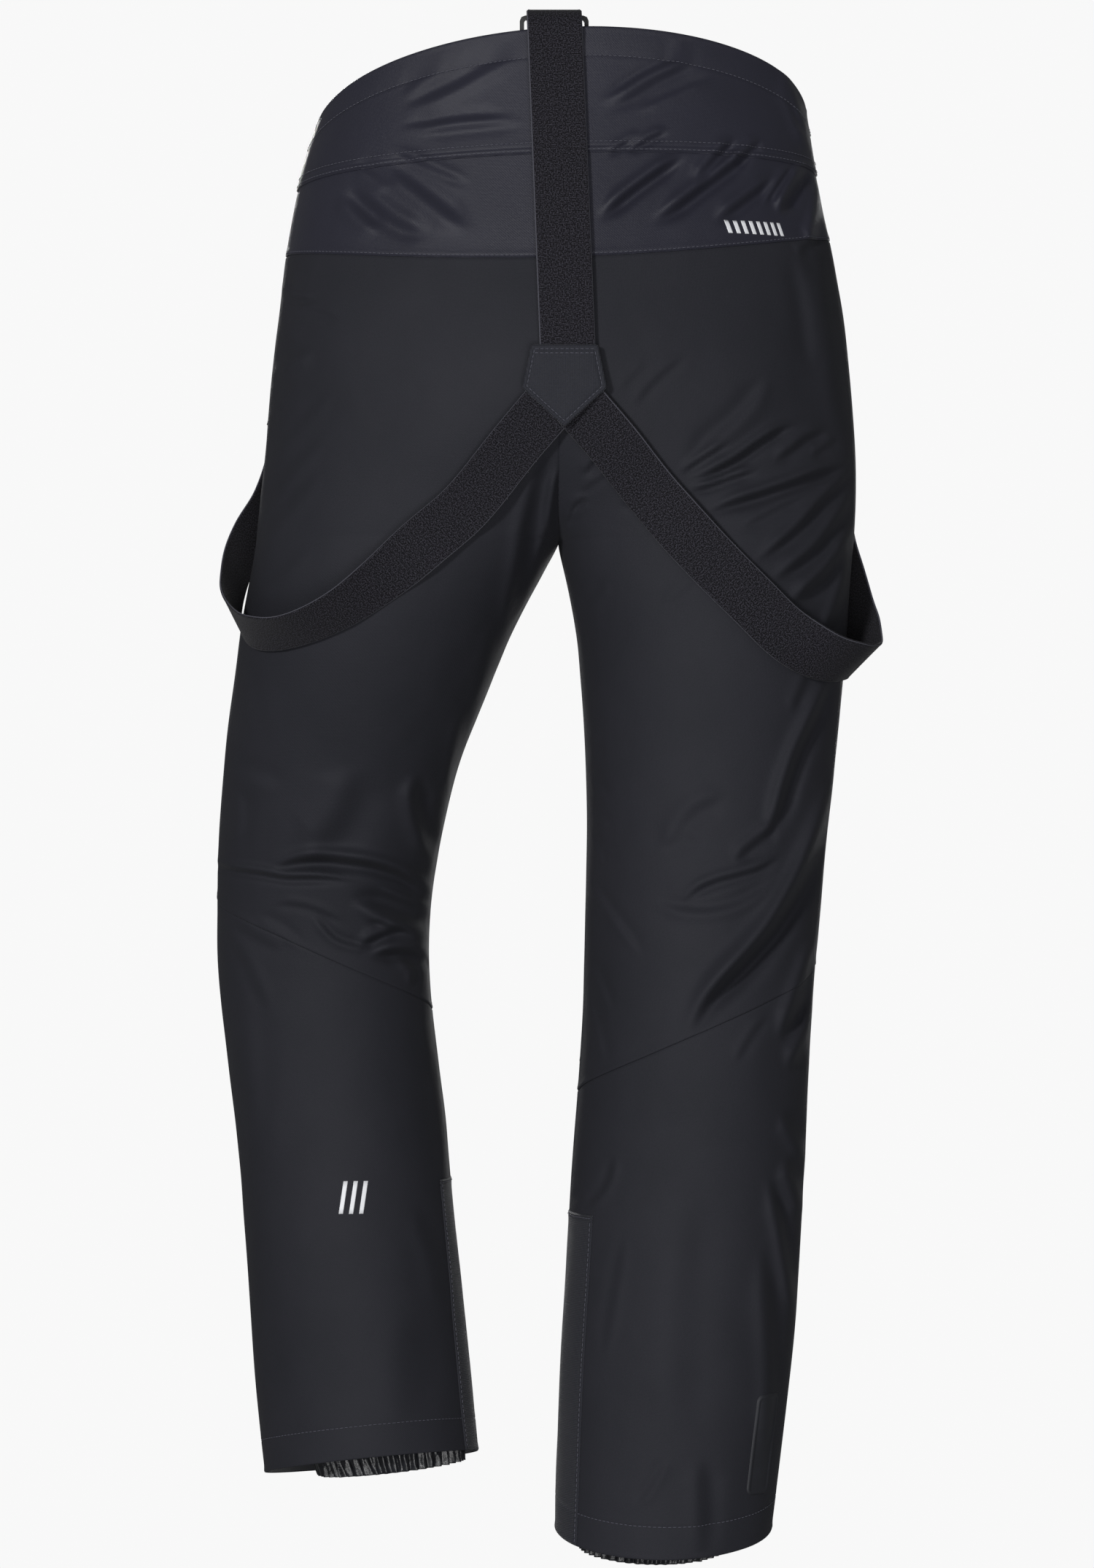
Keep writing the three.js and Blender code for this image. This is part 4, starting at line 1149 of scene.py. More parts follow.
def gaiter_points(side, rows, inset, gathers):
    """The gaiter's cloth: gathered pleats that grow towards its elastic foot."""
    foot = GAITER_FEET[side][0]
    turn = np.linspace(0, 2 * np.pi, GAITER_COLUMNS, endpoint=False)
    height = foot + np.asarray(rows)[:, None]
    share = 1 - (height - foot) / GAITER_LENGTH
    middle_x, middle_y, width, depth = np.moveaxis(leg_at[side](height), -1, 0)
    wander = 0.9 * value_noise(turn * 2.2, share * 1.5, side, 4)
    pleats = np.sin(GAITER_PLEATS * (turn + 0.06 * wander) + 0.8 * np.sin(9 * share))
    pleats = pleats * (0.65 + 0.35 * value_noise(turn * 7, share * 3, 0, 9))
    puckers = value_noise(turn * 30, share * 24, 0, 6)
    deep = gathers * (PLEAT_DEPTH * share**2 * pleats + PUCKER_DEPTH * puckers)
    across = width - GAITER_CLEARANCE - GAITER_DRAW[0] * share - inset + deep
    depth = depth - GAITER_CLEARANCE - GAITER_DRAW[1] * share - inset + deep
    x = side * (middle_x - GAITER_SHIFT[side] * share - across * np.cos(turn))
    y = middle_y - depth * np.sin(turn)
    z = height + ring_edge(GAITER_FEET[side], turn / (2 * np.pi)) - foot
    return np.stack(np.broadcast_arrays(x, y, z), -1)


def closed_sheet(name, side, points):
    """A sheet that goes all the way round a leg, from rows of points."""
    joined = np.concatenate([points, points[:, :1]], axis=1)
    around = np.append(0, np.cumsum(np.linalg.norm(np.diff(joined, axis=1), axis=-1).mean(0)))
    up = np.append(0, np.cumsum(np.linalg.norm(np.diff(joined, axis=0), axis=-1).mean(1)))
    uv = np.stack(np.meshgrid(around, up), -1)
    piece = grid_object(name, joined, uv)
    face_outwards(piece, leg_middle(side))
    piece["flat_area"] = grid_area(joined)
    piece["flat_size"] = grid_size(joined)
    return piece


def make_gaiter(side):
    name = SIDE_NAMES[side]
    rows = np.concatenate([np.linspace(0, 0.016, 17), np.linspace(0.019, GAITER_LENGTH, 30)])
    sleeve = closed_sheet(f"gaiter_{name}", side, gaiter_points(side, rows, -0.0008, 1.0))
    cloth((sleeve, 0.0006), "gaiter", held="gathered", body=f"shin_{name}", replaces=[f"snow_gaiter_{name}"],
          rests_on=[f"calf_cloth_{name}"])
    rows = np.linspace(0.001, GAITER_TAPE, 8)
    tape = closed_sheet(f"gaiter_tape_{name}", side, gaiter_points(side, rows, 0.0012, 0.5))
    cloth((tape, 0.0010), "elastic", held="stretched", body=f"shin_{name}",
          replaces=[f"gaiter_elastic_{name}"], rests_on=[f"gaiter_{name}"])


# ------------------------------------------------------------------ stitches

STITCH_LENGTH, STITCH_GAP, STITCH_RADIUS = 0.0027, 0.0009, 0.00030
STITCH_SIDES = 5
# the sections of one stitch: how far along it, their share of the radius, and radii off the cloth
STITCH_RINGS = [(0, 0.35, -0.4), (0.12, 0.9, 0.3), (0.5, 1.0, 0.7), (0.88, 0.9, 0.3), (1, 0.35, -0.4)]
WAIST_ROWS = (0.0022, 0.008)  # how far above the foot of the waistband its two rows run
WAISTBAND_LIFT, YOKE_LIFT, HEM_LIFT, PATCH_LIFT = 0.0014, 0.0004, 0.0001, 0.0009  # off the cloth
stitches = {}  # lines of stitches by what they move with


def stitch_line(key, points, normals):
    """Adds a line of stitches along points, lying on a surface with those normals."""
    points, normals = np.asarray(points), np.asarray(normals)
    at = distances(points)
    starts = np.arange(0.0005, at[-1] - STITCH_LENGTH, STITCH_LENGTH + STITCH_GAP)
    if not len(starts):
        return

    def along(distance, values):
        return np.stack([np.interp(distance, at, values[:, axis]) for axis in range(3)], -1)

    rings = []
    for share, size, rise in STITCH_RINGS:
        middle = along(starts + share * STITCH_LENGTH, points)
        normal = unit(along(starts + share * STITCH_LENGTH, normals))
        run = unit(along(starts + STITCH_LENGTH, points) - along(starts, points))
        sideways = np.cross(run, normal)
        middle = middle + normal * STITCH_RADIUS * rise
        ring = [
            middle + (sideways * math.cos(a) + normal * math.sin(a)) * STITCH_RADIUS * size
            for a in np.arange(STITCH_SIDES) * 2 * math.pi / STITCH_SIDES
        ]
        rings.append(np.stack(ring, 1))
    stitches.setdefault(key, []).append(np.stack(rings, 1))


def make_stitches():
    for key, lines in stitches.items():
        rows = np.concatenate(lines)
        kind, name, slot = key
        piece = new_object(f"stitches_{name}_{slot}", rows, round_quads_of(numbered(*rows.shape[:3])))
        moves_with = {"bend": LEFT if name == "left" else RIGHT} if kind == "bend" else {"body": name}
        finish(piece, "thread", slot=slot, **moves_with)


def stitch_cloth(key, side, u, height, lift=0.0):
    """A line of stitches through places on the cloth."""
    u, height = np.broadcast_arrays(np.asarray(u, float), np.asarray(height, float))
    stitch_line(key, shaped(side, u, height, lift), cloth_normal(side, u, height))


def stitch_garment():
    waist = ("ride", "root", "yoke_shell")
    for side in (LEFT, RIGHT):
        name = SIDE_NAMES[side]
        leg = ("bend", name, "shell")
        around_back, around_front = np.linspace(0.505, 1.0, 120), np.linspace(0.004, 0.495, 120)
        for away in WAIST_ROWS:
            for u in (around_back, around_front):
                stitch_cloth(waist, side, u, waist_seam(side, u) - BAND_OVERLAP + away, WAISTBAND_LIFT)
        for u, below in ((around_back, TOP_STITCHES), (around_front, FRONT_TOP_STITCHES)):
            stitch_cloth(waist, side, u, top_edge(side, u) - below, WAISTBAND_LIFT)
        stitch_cloth(waist, side, around_back, yoke_seam(side, around_back) + YOKE_STITCHES, YOKE_LIFT)
        round_leg = np.linspace(0.0, 1.0, 160)
        stitch_cloth(leg, side, round_leg, hem_edge(side, round_leg) + HEM_STITCHES, HEM_LIFT)
        stitch_patch(side)


def stitch_patch(side):
    key = ("ride", f"shin_{SIDE_NAMES[side]}", "patch")
    inset = KICK_PATCH_STITCHES
    first, last = (turn * ALL_ROUND for turn in KICK_PATCH_TURNS[side])
    across = np.linspace(first + inset, last - inset, 60) / ALL_ROUND
    top = KNEES[side].z - KICK_PATCH_BELOW_KNEE - inset
    stitch_cloth(key, side, np.where(across < 0, across + 1, across), top, PATCH_LIFT)
    for turn in (across[0] + 1, across[-1]):
        heights = np.linspace(float(hem_edge(side, turn)) + 0.002, top, 80)
        stitch_cloth(key, side, turn, heights, PATCH_LIFT)


# ------------------------------------------------------------------ straps and fittings

# The stations of each front strap: a place [x, y, z] in millimetres, then the way that its face points there.
FRONT_STRAPS = {
    LEFT: [
        [11.3, 128.7, -183.5, -0.07, 0.96, -0.29],
        [30.4, 122.4, -205.5, -0.08, 0.93, -0.37],
        [67.6, 108.5, -250.3, -0.14, 0.96, -0.23],
        [97, 110, -276, -0.1, 0.97, -0.22],
        [130, 108, -304, -0.22, 0.84, -0.5],
        [160, 105, -325, -0.12, 0.66, -0.74],
        [191, 92, -338, 0.12, 0.5, -0.86],
        [217, 70, -340, 0.52, 0.38, -0.76],
        [233, 46, -334, 0.84, 0.15, -0.52],
        [241, 24, -321, 0.92, -0.08, -0.38],
        [242, 4, -306, 0.93, -0.26, -0.25],
        [239, -15, -287, 0.89, -0.44, -0.12],
        [232, -29, -268, 0.84, -0.54, 0],
        [218, -42, -243, 0.82, -0.57, 0.03],
        [207, -52, -212, 0.77, -0.63, 0.05],
        [201.2, -54.8, -179.6, 0.71, -0.7, 0.04],
    ],
    RIGHT: [
        [-19.4, 129.2, -183.3, 0.04, 0.97, -0.25],
        [-38.5, 123.1, -204.9, 0.04, 0.94, -0.34],
        [-66.5, 111.5, -239.7, 0.07, 0.95, -0.3],
        [-103.7, 113.5, -282, 0.02, 0.99, 0.11],
        [-138.4, 112.5, -317, -0.2, 0.97, 0.01],
        [-165, 104, -342, -0.42, 0.86, -0.25],
        [-191, 90, -357, -0.37, 0.74, -0.55],
        [-210, 70.5, -361.5, -0.52, 0.49, -0.7],
        [-220, 48, -361, -0.64, 0.2, -0.74],
        [-225.5, 26, -357, -0.74, -0.05, -0.66],
        [-226.5, 5, -343, -0.82, -0.28, -0.45],
        [-223, -15, -327, -0.8, -0.5, -0.25],
        [-218.5, -30, -302, -0.84, -0.53, -0.03],
        [-212, -43, -274, -0.86, -0.5, 0.03],
        [-207.5, -50, -246, -0.85, -0.52, 0.05],
        [-204, -53, -214, -0.8, -0.6, 0.05],
        [-201.2, -54.8, -179.6, -0.71, -0.7, 0.04],
    ],
}
STRAIGHT_FOOT = [0.30, -0.135, 0.0095]
STRAIGHT_TOP = [0.225, -0.034, 0.0095]
STRAP_TUCK = 0.012  # how far each front strap runs on under the patch
STRAP_BAR_TACKS = 0.0165  # how far the rows of stitches at its end are from its middle
SELVEDGE_BEAD = 0.00018
WEBBING_FACING, WEBBING_TURN = (0.26, -0.080), 0.004


def ribbon_rings(points, faces, width, thick):
    """Rounded flat sections along a line of points, square to it, facing along faces."""
    runs = unit(np.gradient(points, axis=0))
    faces = unit(faces - runs * (faces * runs).sum(-1, keepdims=True))
    across = np.cross(runs, faces)
    half, radius = width / 2, thick / 2
    edge = [(half - 0.0028, radius), (half - 0.0016, radius + SELVEDGE_BEAD), (half - 0.0006, 0.65 * radius)]
    top = [(-x, y) for x, y in edge[::-1]] + [(-half / 2, radius), (0, radius), (half / 2, radius)] + edge
    section = top + [(half, 0.0)] + [(x, -y) for x, y in top[::-1]] + [(-half, 0.0)]
    return np.stack([points + across * x + faces * y for x, y in section], 1)


def ribbon(name, points, faces, width=WEBBING, thick=WEBBING_THICK):
    return loft(name, ribbon_rings(points, faces, width, thick))


def straight_end(side):
    """The straight end of a front strap: its foot, its top, and the ways up it and out of it."""
    foot, top = off_cloth(side, *STRAIGHT_FOOT), off_cloth(side, *STRAIGHT_TOP)
    up = unit(top - foot)
    face = cloth_normal(side, *WEBBING_FACING)
    return foot, top, up, unit(face - up * face.dot(up))


def make_front_strap(side):
    name = SIDE_NAMES[side]
    foot, top, up, face = straight_end(side)
    stations = np.array(FRONT_STRAPS[side], float)
    points = smooth_line(np.vstack([stations[:, :3] * MM, foot]), 10)[:-4]
    faces = smooth_line(np.vstack([stations[:, 3:], face]), 10)[:-4]
    start = points[0] - unit(points[1] - points[0]) * STRAP_TUCK
    start[1] = max(start[1], points[0][1])
    ends = np.array([foot + (top - foot) * share for share in np.linspace(0, 1, 12)])
    points = np.vstack([start, points, ends])
    faces = np.vstack([faces[0], faces, np.repeat(face[None], 12, 0)])
    strap = ribbon(f"suspender_{name}", points, faces)
    finish(strap, "elastic", replaces=[f"front_strap_{name}"])
    square = np.cross(up, face)
    for distance in (-STRAP_BAR_TACKS, STRAP_BAR_TACKS):
        middle = ends[-1] - up * WEBBING_TURN
        line = np.array([middle + square * distance - up * a for a in np.linspace(0, 0.02, 10)])
        stitch_line(("ride", "root", "elastic"), line + face * 0.001, np.repeat(face[None], 10, 0))


# The back strap folds over the upper bar of its ring, then hangs down outside the back, as [depth, height].
RING = {"width": 0.050, "height": 0.027, "bar": 0.0032, "y": 0.0836, "top": 0.1071}
PATCH_TOP, PATCH_FACE, PATCH_MIDDLE, PATCH_THICK = -0.1355, 0.135, -0.004, 0.005
LOOP_WIDTH, LOOP_THICK = 0.008, 0.0013


def strap_middle(height):
    """The back strap hangs a little off the upright."""
    return 0.039 * height - 0.0008


def on_back(height, off):
    return float(torso_at(height)[3]) + off


def strip(name, path, middle_x, width, thick):
    """Flat webbing along a path of [depth, height], with its middle at middle_x."""
    line = smooth_line(path, 8)
    points = np.stack([middle_x(line[:, 1]), line[:, 0], line[:, 1]], -1)
    runs = unit(np.gradient(points, axis=0))
    faces = np.stack([np.zeros(len(line)), runs[:, 2], -runs[:, 1]], -1)
    return ribbon(name, points, faces, width, thick)


def make_back_strap():
    y, upper = RING["y"], RING["top"] - RING["bar"] / 2
    fold = [
        [on_back(0.066, 0.0016), 0.066], [on_back(0.080, 0.0016), 0.080], [on_back(0.092, 0.0017), 0.092],
        [0.0930, 0.0986], [0.0890, 0.1009], [y, upper - 0.0046], [y - 0.0046, upper - 0.003],
        [y - 0.0054, upper], [y - 0.0042, upper + 0.0036], [y, upper + 0.005], [0.090, 0.1088],
        [0.0958, 0.1036], [0.0982, 0.096],
    ]
    run = [[on_back(height, 0.0046), height] for height in (0.085, 0.060, 0.030, 0.0, -0.035, -0.070, -0.105)]
    end = [PATCH_FACE - 0.0015, PATCH_TOP - 0.006]
    strap = strip("back_suspender", [*fold, *run, end], strap_middle, WEBBING, WEBBING_THICK)
    finish(strap, "elastic", replaces=["back_strap"])
    lower = RING["top"] - RING["height"] + RING["bar"] / 2
    loop = [
        [y + 0.0063, 0.058], [y + 0.0047, 0.070], [y + 0.0034, lower], [y + 0.0026, lower + 0.0025],
        [y, lower + 0.0036], [y - 0.0026, lower + 0.0025], [y - 0.0034, lower], [y - 0.0018, 0.072],
        [y + 0.0036, 0.058],
    ]
    middle = float(strap_middle(RING["top"]))
    anchor = strip("back_loop", loop, lambda z: np.full(z.shape, middle), WEBBING - 0.004, LOOP_THICK)
    finish(anchor, "elastic", replaces=["back_strap_anchor"])


PATCH_OUTLINE = [(-0.024, 0), (0.024, 0), (0.0303, -0.031), (0.0, -0.059), (-0.0303, -0.031)]


def rounded_outline(corners, radius, steps=6, between=8):
    """A closed outline with rounded corners, and extra points along its straight edges."""
    points = []
    corners = [Vector(c) for c in corners]
    for i, corner in enumerate(corners):
        before = (corners[i - 1] - corner).normalized()
        after = (corners[(i + 1) % len(corners)] - corner).normalized()
        start, end = corner + before * radius, corner + after * radius
        for t in (k / steps for k in range(steps + 1)):
            points.append(start * (1 - t) ** 2 + corner * 2 * t * (1 - t) + end * t**2)
        next_start = corners[(i + 1) % len(corners)] - after * radius
        for k in range(1, between):
            points.append(end + (next_start - end) * k / between)
    return np.array([tuple(p) for p in points])


def inset_outline(corners, radius, distance):
    """The rounded outline with its sides moved inwards by a distance. The corners run either way round."""
    corners = np.array(corners, float)
    centre = corners.mean(0)
    ahead = unit(np.roll(corners, -1, axis=0) - corners)
    inward = np.stack([-ahead[:, 1], ahead[:, 0]], -1)
    inward *= np.sign(((centre - corners) * inward).sum(1))[:, None]
    moved = []
    for i, corner in enumerate(corners):
        before, after = inward[i - 1], inward[i]
        moved.append(corner + distance * (before + after) / (1 + before.dot(after)))
    return rounded_outline(moved, max(radius - distance, 0.0004))


def padded_rings(corners, radius, steps_in, to_space):
    """Rings of a flat stitched patch from [inset, rise] steps, then on to its middle."""
    rings = [to_space(inset_outline(corners, radius, inset), rise) for inset, rise in steps_in]
    last = rings[-1]
    centre = last.mean(0)
    return rings + [centre + (last - centre) * share for share in (0.7, 0.4, 0.1)]


def closed_stitches(key, line, facing):
    """A line of stitches all the way round a flat outline."""
    line = np.vstack([line, line[:1]])
    stitch_line(key, line, np.repeat([facing], len(line), 0))


BACKWARDS, FORWARDS = (0.0, 1.0, 0.0), (0.0, -1.0, 0.0)


def make_y_patch():
    radius, face = 0.0022, PATCH_THICK / 2
    steps_in = [(0.0, -face), (0.0, face - 0.0012), (0.0006, face - 0.0003), (0.0014, face)]
    steps_in += [(0.0024, face - 0.0002), (0.0031, face - 0.0008), (0.0038, face - 0.0002)]
    steps_in += [(0.0060, face + 0.0001), (0.0100, face + 0.0003)]

    def to_space(outline, rise):
        depth = np.full(len(outline), PATCH_FACE + rise)
        return np.stack([PATCH_MIDDLE + outline[:, 0], depth, PATCH_TOP + outline[:, 1]], -1)

    patch = loft("strap_patch", padded_rings(PATCH_OUTLINE, radius, steps_in, to_space))
    lay_flat(patch)
    finish(patch, "patch", replaces=["y_patch"])
    key = ("ride", "root", "patch")
    closed_stitches(key, to_space(inset_outline(PATCH_OUTLINE, radius, 0.0031), face - 0.0006), BACKWARDS)
    across = np.linspace(-0.0215, 0.0215, 30)
    top = to_space(np.stack([across, np.full(30, -0.0062)], -1), face + 0.0001)
    stitch_line(key, top, np.repeat([BACKWARDS], 30, 0))


# The loop that a clip bites on, as [out, up] from its strap's top in millimetres, and its step sideways.
WAIST_LOOP = [
    (6.3, 60), (6, 52), (4.2, 45), (3.4, 39), (2.4, 35), (0, 33.6),
    (-2.4, 35), (-3.4, 39), (-2.4, 46), (3, 53.5), (4.2, 60),
]
WAIST_LOOP_SHIFT = 0.006


def make_waist_loop(side):
    name = SIDE_NAMES[side]
    _, top, up, face = straight_end(side)
    line = smooth_line(np.array(WAIST_LOOP) * MM, 8)
    sideways = np.cross(-face, up)
    points = top + np.outer(line[:, 1], up) - np.outer(line[:, 0], face) + sideways * WAIST_LOOP_SHIFT
    faces = np.cross(unit(np.gradient(points, axis=0)), sideways)
    loop = ribbon(f"waist_loop_{name}", points, faces, LOOP_WIDTH, LOOP_THICK)
    finish(loop, "elastic", replaces=[f"strap_anchor_{name}"])


# ------------------------------------------------------------------ marks

BAR_WIDTH, BAR_STEPS = 0.0034, 6
MARK_LIFT, MARK_THICK = 0.0004, 0.0003


def slanted_bars(name, side, middle, count, pitch, tall, slant, body, node):
    """A row of pale slanted bars on the cloth, round a middle [turn, height]."""
    share = np.linspace(0, 1, BAR_STEPS)
    across, up = np.meshgrid(share - 0.5, share - 0.5)
    offset = (np.arange(count) - (count - 1) / 2) * pitch
    x = offset[:, None, None] + across * BAR_WIDTH + up * 2 * slant
    u, height = np.broadcast_arrays(middle[0] + x / ALL_ROUND, middle[1] + up * tall)
    quads = quads_of(numbered(*u.shape))
    flat = np.stack([u * ALL_ROUND, height], -1).reshape(-1, 2)
    piece = new_object(name, shaped(side, u, height, MARK_LIFT), quads, flat[quads.reshape(-1)])
    face_outwards(piece, leg_middle(side))
    finish(piece, "reflective", body=body, replaces=[node], thickness=MARK_THICK)


def make_marks():
    slanted_bars("pale_bars", RIGHT, (0.7455, -0.0465), 8, 0.0068, 0.0095, 0.0012, "root", "reflective_bar")
    slanted_bars("pale_mark", LEFT, (0.765, -0.757), 3, 0.0080, 0.024, 0.0030, "shin_left", "reflective_mark")
    make_reflector()


REFLECTOR_TURNS, REFLECTOR_HEIGHTS = (0.570, 0.625), (-0.9625, -0.889)
REFLECTOR_CORNER, REFLECTOR_THICK = 0.006, 0.0004
REFLECTOR_RIM, REFLECTOR_SINK, REFLECTOR_EDGE, RIDGE_RISE = 0.0011, 0.0006, 0.0007, 0.0003
RIDGE_PLACE, RIDGE_WIDTH = 0.012, 0.0006  # from the badge's middle


def make_reflector():
    """A rounded badge pressed into the cloth, with a raised rim."""
    u, height = np.meshgrid(np.linspace(*REFLECTOR_TURNS, 40), np.linspace(*REFLECTOR_HEIGHTS, 80))
    x = (u - np.mean(REFLECTOR_TURNS)) * ALL_ROUND
    z = height - np.mean(REFLECTOR_HEIGHTS)
    past_x = np.abs(x) - (x.max() - 0.0005 - REFLECTOR_CORNER)
    past_z = np.abs(z) - (z.max() - 0.0005 - REFLECTOR_CORNER)
    outside = np.hypot(np.maximum(past_x, 0), np.maximum(past_z, 0))
    outside = outside + np.minimum(np.maximum(past_x, past_z), 0) - REFLECTOR_CORNER
    on_rim = smoothstep(0.0003, -0.0010, outside)
    ridges = ripple(np.abs(z) - RIDGE_PLACE, 1, RIDGE_WIDTH) * smoothstep(-0.005, -0.006, outside)
    lift = REFLECTOR_RIM * on_rim - REFLECTOR_EDGE * (1 - on_rim)
    lift = lift - REFLECTOR_SINK * smoothstep(-0.0026, -0.0036, outside) + RIDGE_RISE * ridges
    points = shaped(RIGHT, u, height, lift)
    piece = grid_object("pressed_badge", points, np.stack([x, z], -1))
    face_outwards(piece, leg_middle(RIGHT))
    finish(piece, "pressed", slot="plastic", body="shin_right", replaces=["reflector_patch"],
           thickness=REFLECTOR_THICK)


# ------------------------------------------------------------------ zips, fly and closure

def frame_of(along, facing):
    """The ways sideways, up and out of something that lies along a line and faces one way."""
    up = unit(along)
    face = unit(facing - up * facing.dot(up))
    return np.cross(up, face), up, face


def block_rings(middle, square, up, face, sizes):
    """Rings of a small rounded block, from its foot to its top, standing out along its face."""
    rings = []
    for wide, tall, out in sizes:
        corners = [(-wide, -tall), (wide, -tall), (wide, tall), (-wide, tall)]
        rings.append([middle + square * x + up * z + face * out for x, z in corners])
    return rings


def many_blocks(name, blocks):
    """One mesh from many small lofted blocks with the same number of rings."""
    rings = np.array(blocks)
    index = numbered(*rings.shape[:3])
    caps = np.concatenate([index[:, 0, ::-1], index[:, -1]])
    return new_object(name, rings, np.vstack([round_quads_of(index), caps]))


TEETH_PITCH, TEETH_OFFSET = 0.0021, 0.0012  # along one row of teeth, and from the middle to each row
TOOTH = [(0.0015, 0.00062, -0.0005), (0.0017, 0.00072, 0.0002), (0.0013, 0.00055, 0.0007)]
TAPE_PLACES = [0.8, 2.6, 3.4, 5, 7, 9, 10.5, 11.5]  # from the tape's middle to its edge, in millimetres
TAPE_STITCHES = (3, -4)  # the columns of the tape, 7 mm from its middle, that are sewn down
TAPE_ROWS, TAPE_THICK = 60, 0.0006
TAPE_SINK, TAPE_EDGE, TAPE_RIB = -0.0010, 0.0034, (0.0004, 0.0005)  # a rib beside the teeth
TAPE_SETTLES = (0.0035, 0.0085)  # from its middle: flat up to the first, on the cloth from the second


def make_zip(name, side, ends, top, foot, facing, replaces):
    """Coil teeth down the middle of a woven tape. ends gives the [turn, height] of its top and foot."""
    length = float(np.linalg.norm(foot - top))
    square, up, face = frame_of(top - foot, facing)
    blocks = []
    for i, distance in enumerate(np.arange(0.001, length - 0.001, TEETH_PITCH / 2)):
        offset = TEETH_OFFSET if i % 2 else -TEETH_OFFSET
        blocks.append(block_rings(top - up * distance + square * offset, square, up, face, TOOTH))
    finish(many_blocks(f"{name}_teeth", blocks), "plastic", replaces=replaces)

    rows = np.linspace(-0.004, length + 0.006, TAPE_ROWS)
    across = np.array([-x for x in TAPE_PLACES[::-1]] + TAPE_PLACES) * MM
    points = tape_points(side, ends, rows, across, length, (top, square, up, face))
    tape = grid_object(f"{name}_tape", points, np.stack(np.meshgrid(across, rows), -1))
    if tape.data.polygons[0].normal.dot(Vector(face)) < 0:
        tape.data.flip_normals()
    finish(tape, "patch", thickness=TAPE_THICK)
    for column in TAPE_STITCHES:
        line = points[:, column] + face * 0.0002
        stitch_line(("ride", "root", "patch"), line, np.repeat(face[None], len(rows), 0))


def tape_points(side, ends, rows, across, length, axes):
    """Flat under the teeth, and lying on the cloth towards its edges. It may cross the middle seam."""
    top, square, up, face = axes
    rise = TAPE_SINK + ripple(np.abs(across) - TAPE_EDGE, *TAPE_RIB)
    chord = top + (-up * rows[:, None])[:, None] + square * across[:, None] + face * rise[:, None]
    share = rows[:, None] / length
    outwards = side * np.sign(square[0])  # a step sideways towards the outside of the leg adds to the turn
    turn = ends[0][0] + (ends[1][0] - ends[0][0]) * share + outwards * across / ALL_ROUND
    height = ends[0][1] + (ends[1][1] - ends[0][1]) * share
    on_cloth = shaped(side, np.abs(turn), height, 0.0005)
    on_cloth[..., 0] *= np.where(turn < 0, -1, 1)
    settle = smoothstep(*TAPE_SETTLES, np.abs(across))[None, :, None]
    return chord * (1 - settle) + on_cloth * settle


FLY_TOP, FLY_FOOT, FLY_LIFT = -0.014, -0.152, 0.0029
FLY_GUARD_TURN, FLY_GUARD_HEIGHTS = 0.038, (-0.134, -0.012)
# the curved stitching beside the fly, as [turn, height], in two rows
FLY_CURVE = [
    (0.050, -0.012), (0.050, -0.060), (0.050, -0.105), (0.044, -0.132), (0.028, -0.152), (0.008, -0.162),
]
FLY_CURVE_INSETS = (0.0, 0.010)


def make_fly():
    def on_front(height):
        return np.array([0.0, -float(torso_at(height)[2]) - FLY_LIFT, height])

    ends = ((0.0, FLY_TOP), (0.0, FLY_FOOT))
    make_zip("fly", LEFT, ends, on_front(FLY_TOP), on_front(FLY_FOOT), np.array(FORWARDS), ["fly_zip_teeth"])
    foot, top = (level(height) for height in FLY_GUARD_HEIGHTS)
    guard = leg_panel("fly_guard_cloth", LEFT, (0.0, FLY_GUARD_TURN), foot, top, (OVER, OVER), (OVER, OVER),
                      lift=-0.0046, thickness=0.0014, spacing=0.006)
    cloth(guard, "lining", rests_on=["thigh_cloth_left"], replaces=["fly_guard"])
    for inset in FLY_CURVE_INSETS:
        line = smooth_line([(u - inset, height + inset * 0.4) for u, height in FLY_CURVE], 10)
        line = line[line[:, 0] > 0.004]
        stitch_cloth(("ride", "root", "shell"), LEFT, line[:, 0], line[:, 1], 0.0002)


POCKET_TOP, POCKET_FOOT, POCKET_LIFT = (0.34, -0.022), (0.43, -0.178), 0.0044
POCKET_MIDDLE = (0.385, -0.100)
POCKET_BAG_TURNS, POCKET_BAG_HEIGHTS = (0.24, 0.44), (-0.235, -0.025)


def make_pocket(side):
    name = SIDE_NAMES[side]
    top = off_cloth(side, *POCKET_TOP, POCKET_LIFT)
    foot = off_cloth(side, *POCKET_FOOT, POCKET_LIFT)
    facing = cloth_normal(side, *POCKET_MIDDLE)
    make_zip(f"pocket_{name}", side, (POCKET_TOP, POCKET_FOOT), top, foot, facing, [f"pocket_zip_{name}"])
    floor, mouth = (level(height) for height in POCKET_BAG_HEIGHTS)
    bag = leg_panel(f"pocket_lining_{name}", side, POCKET_BAG_TURNS, floor, mouth, (OVER, OVER), (OVER, OVER),
                    lift=-0.0056, spacing=0.008)
    cloth(bag, "lining", rests_on=[f"waistband_front_{name}"], replaces=[f"pocket_bag_{name}"])


TAB_ROOT, TAB_TIP, TAB_HEIGHT, TAB_MIDDLE = 0.026, -0.030, 0.032, 0.014
TAB_CORNER, TAB_STITCHES = 0.007, 0.0028
WAIST_FACE = -float(torso_at(0)[2]) - 0.0004
SNAP_FROM_TIP, SNAP_RISE, SNAP_SIDES = 0.014, 0.008, 48
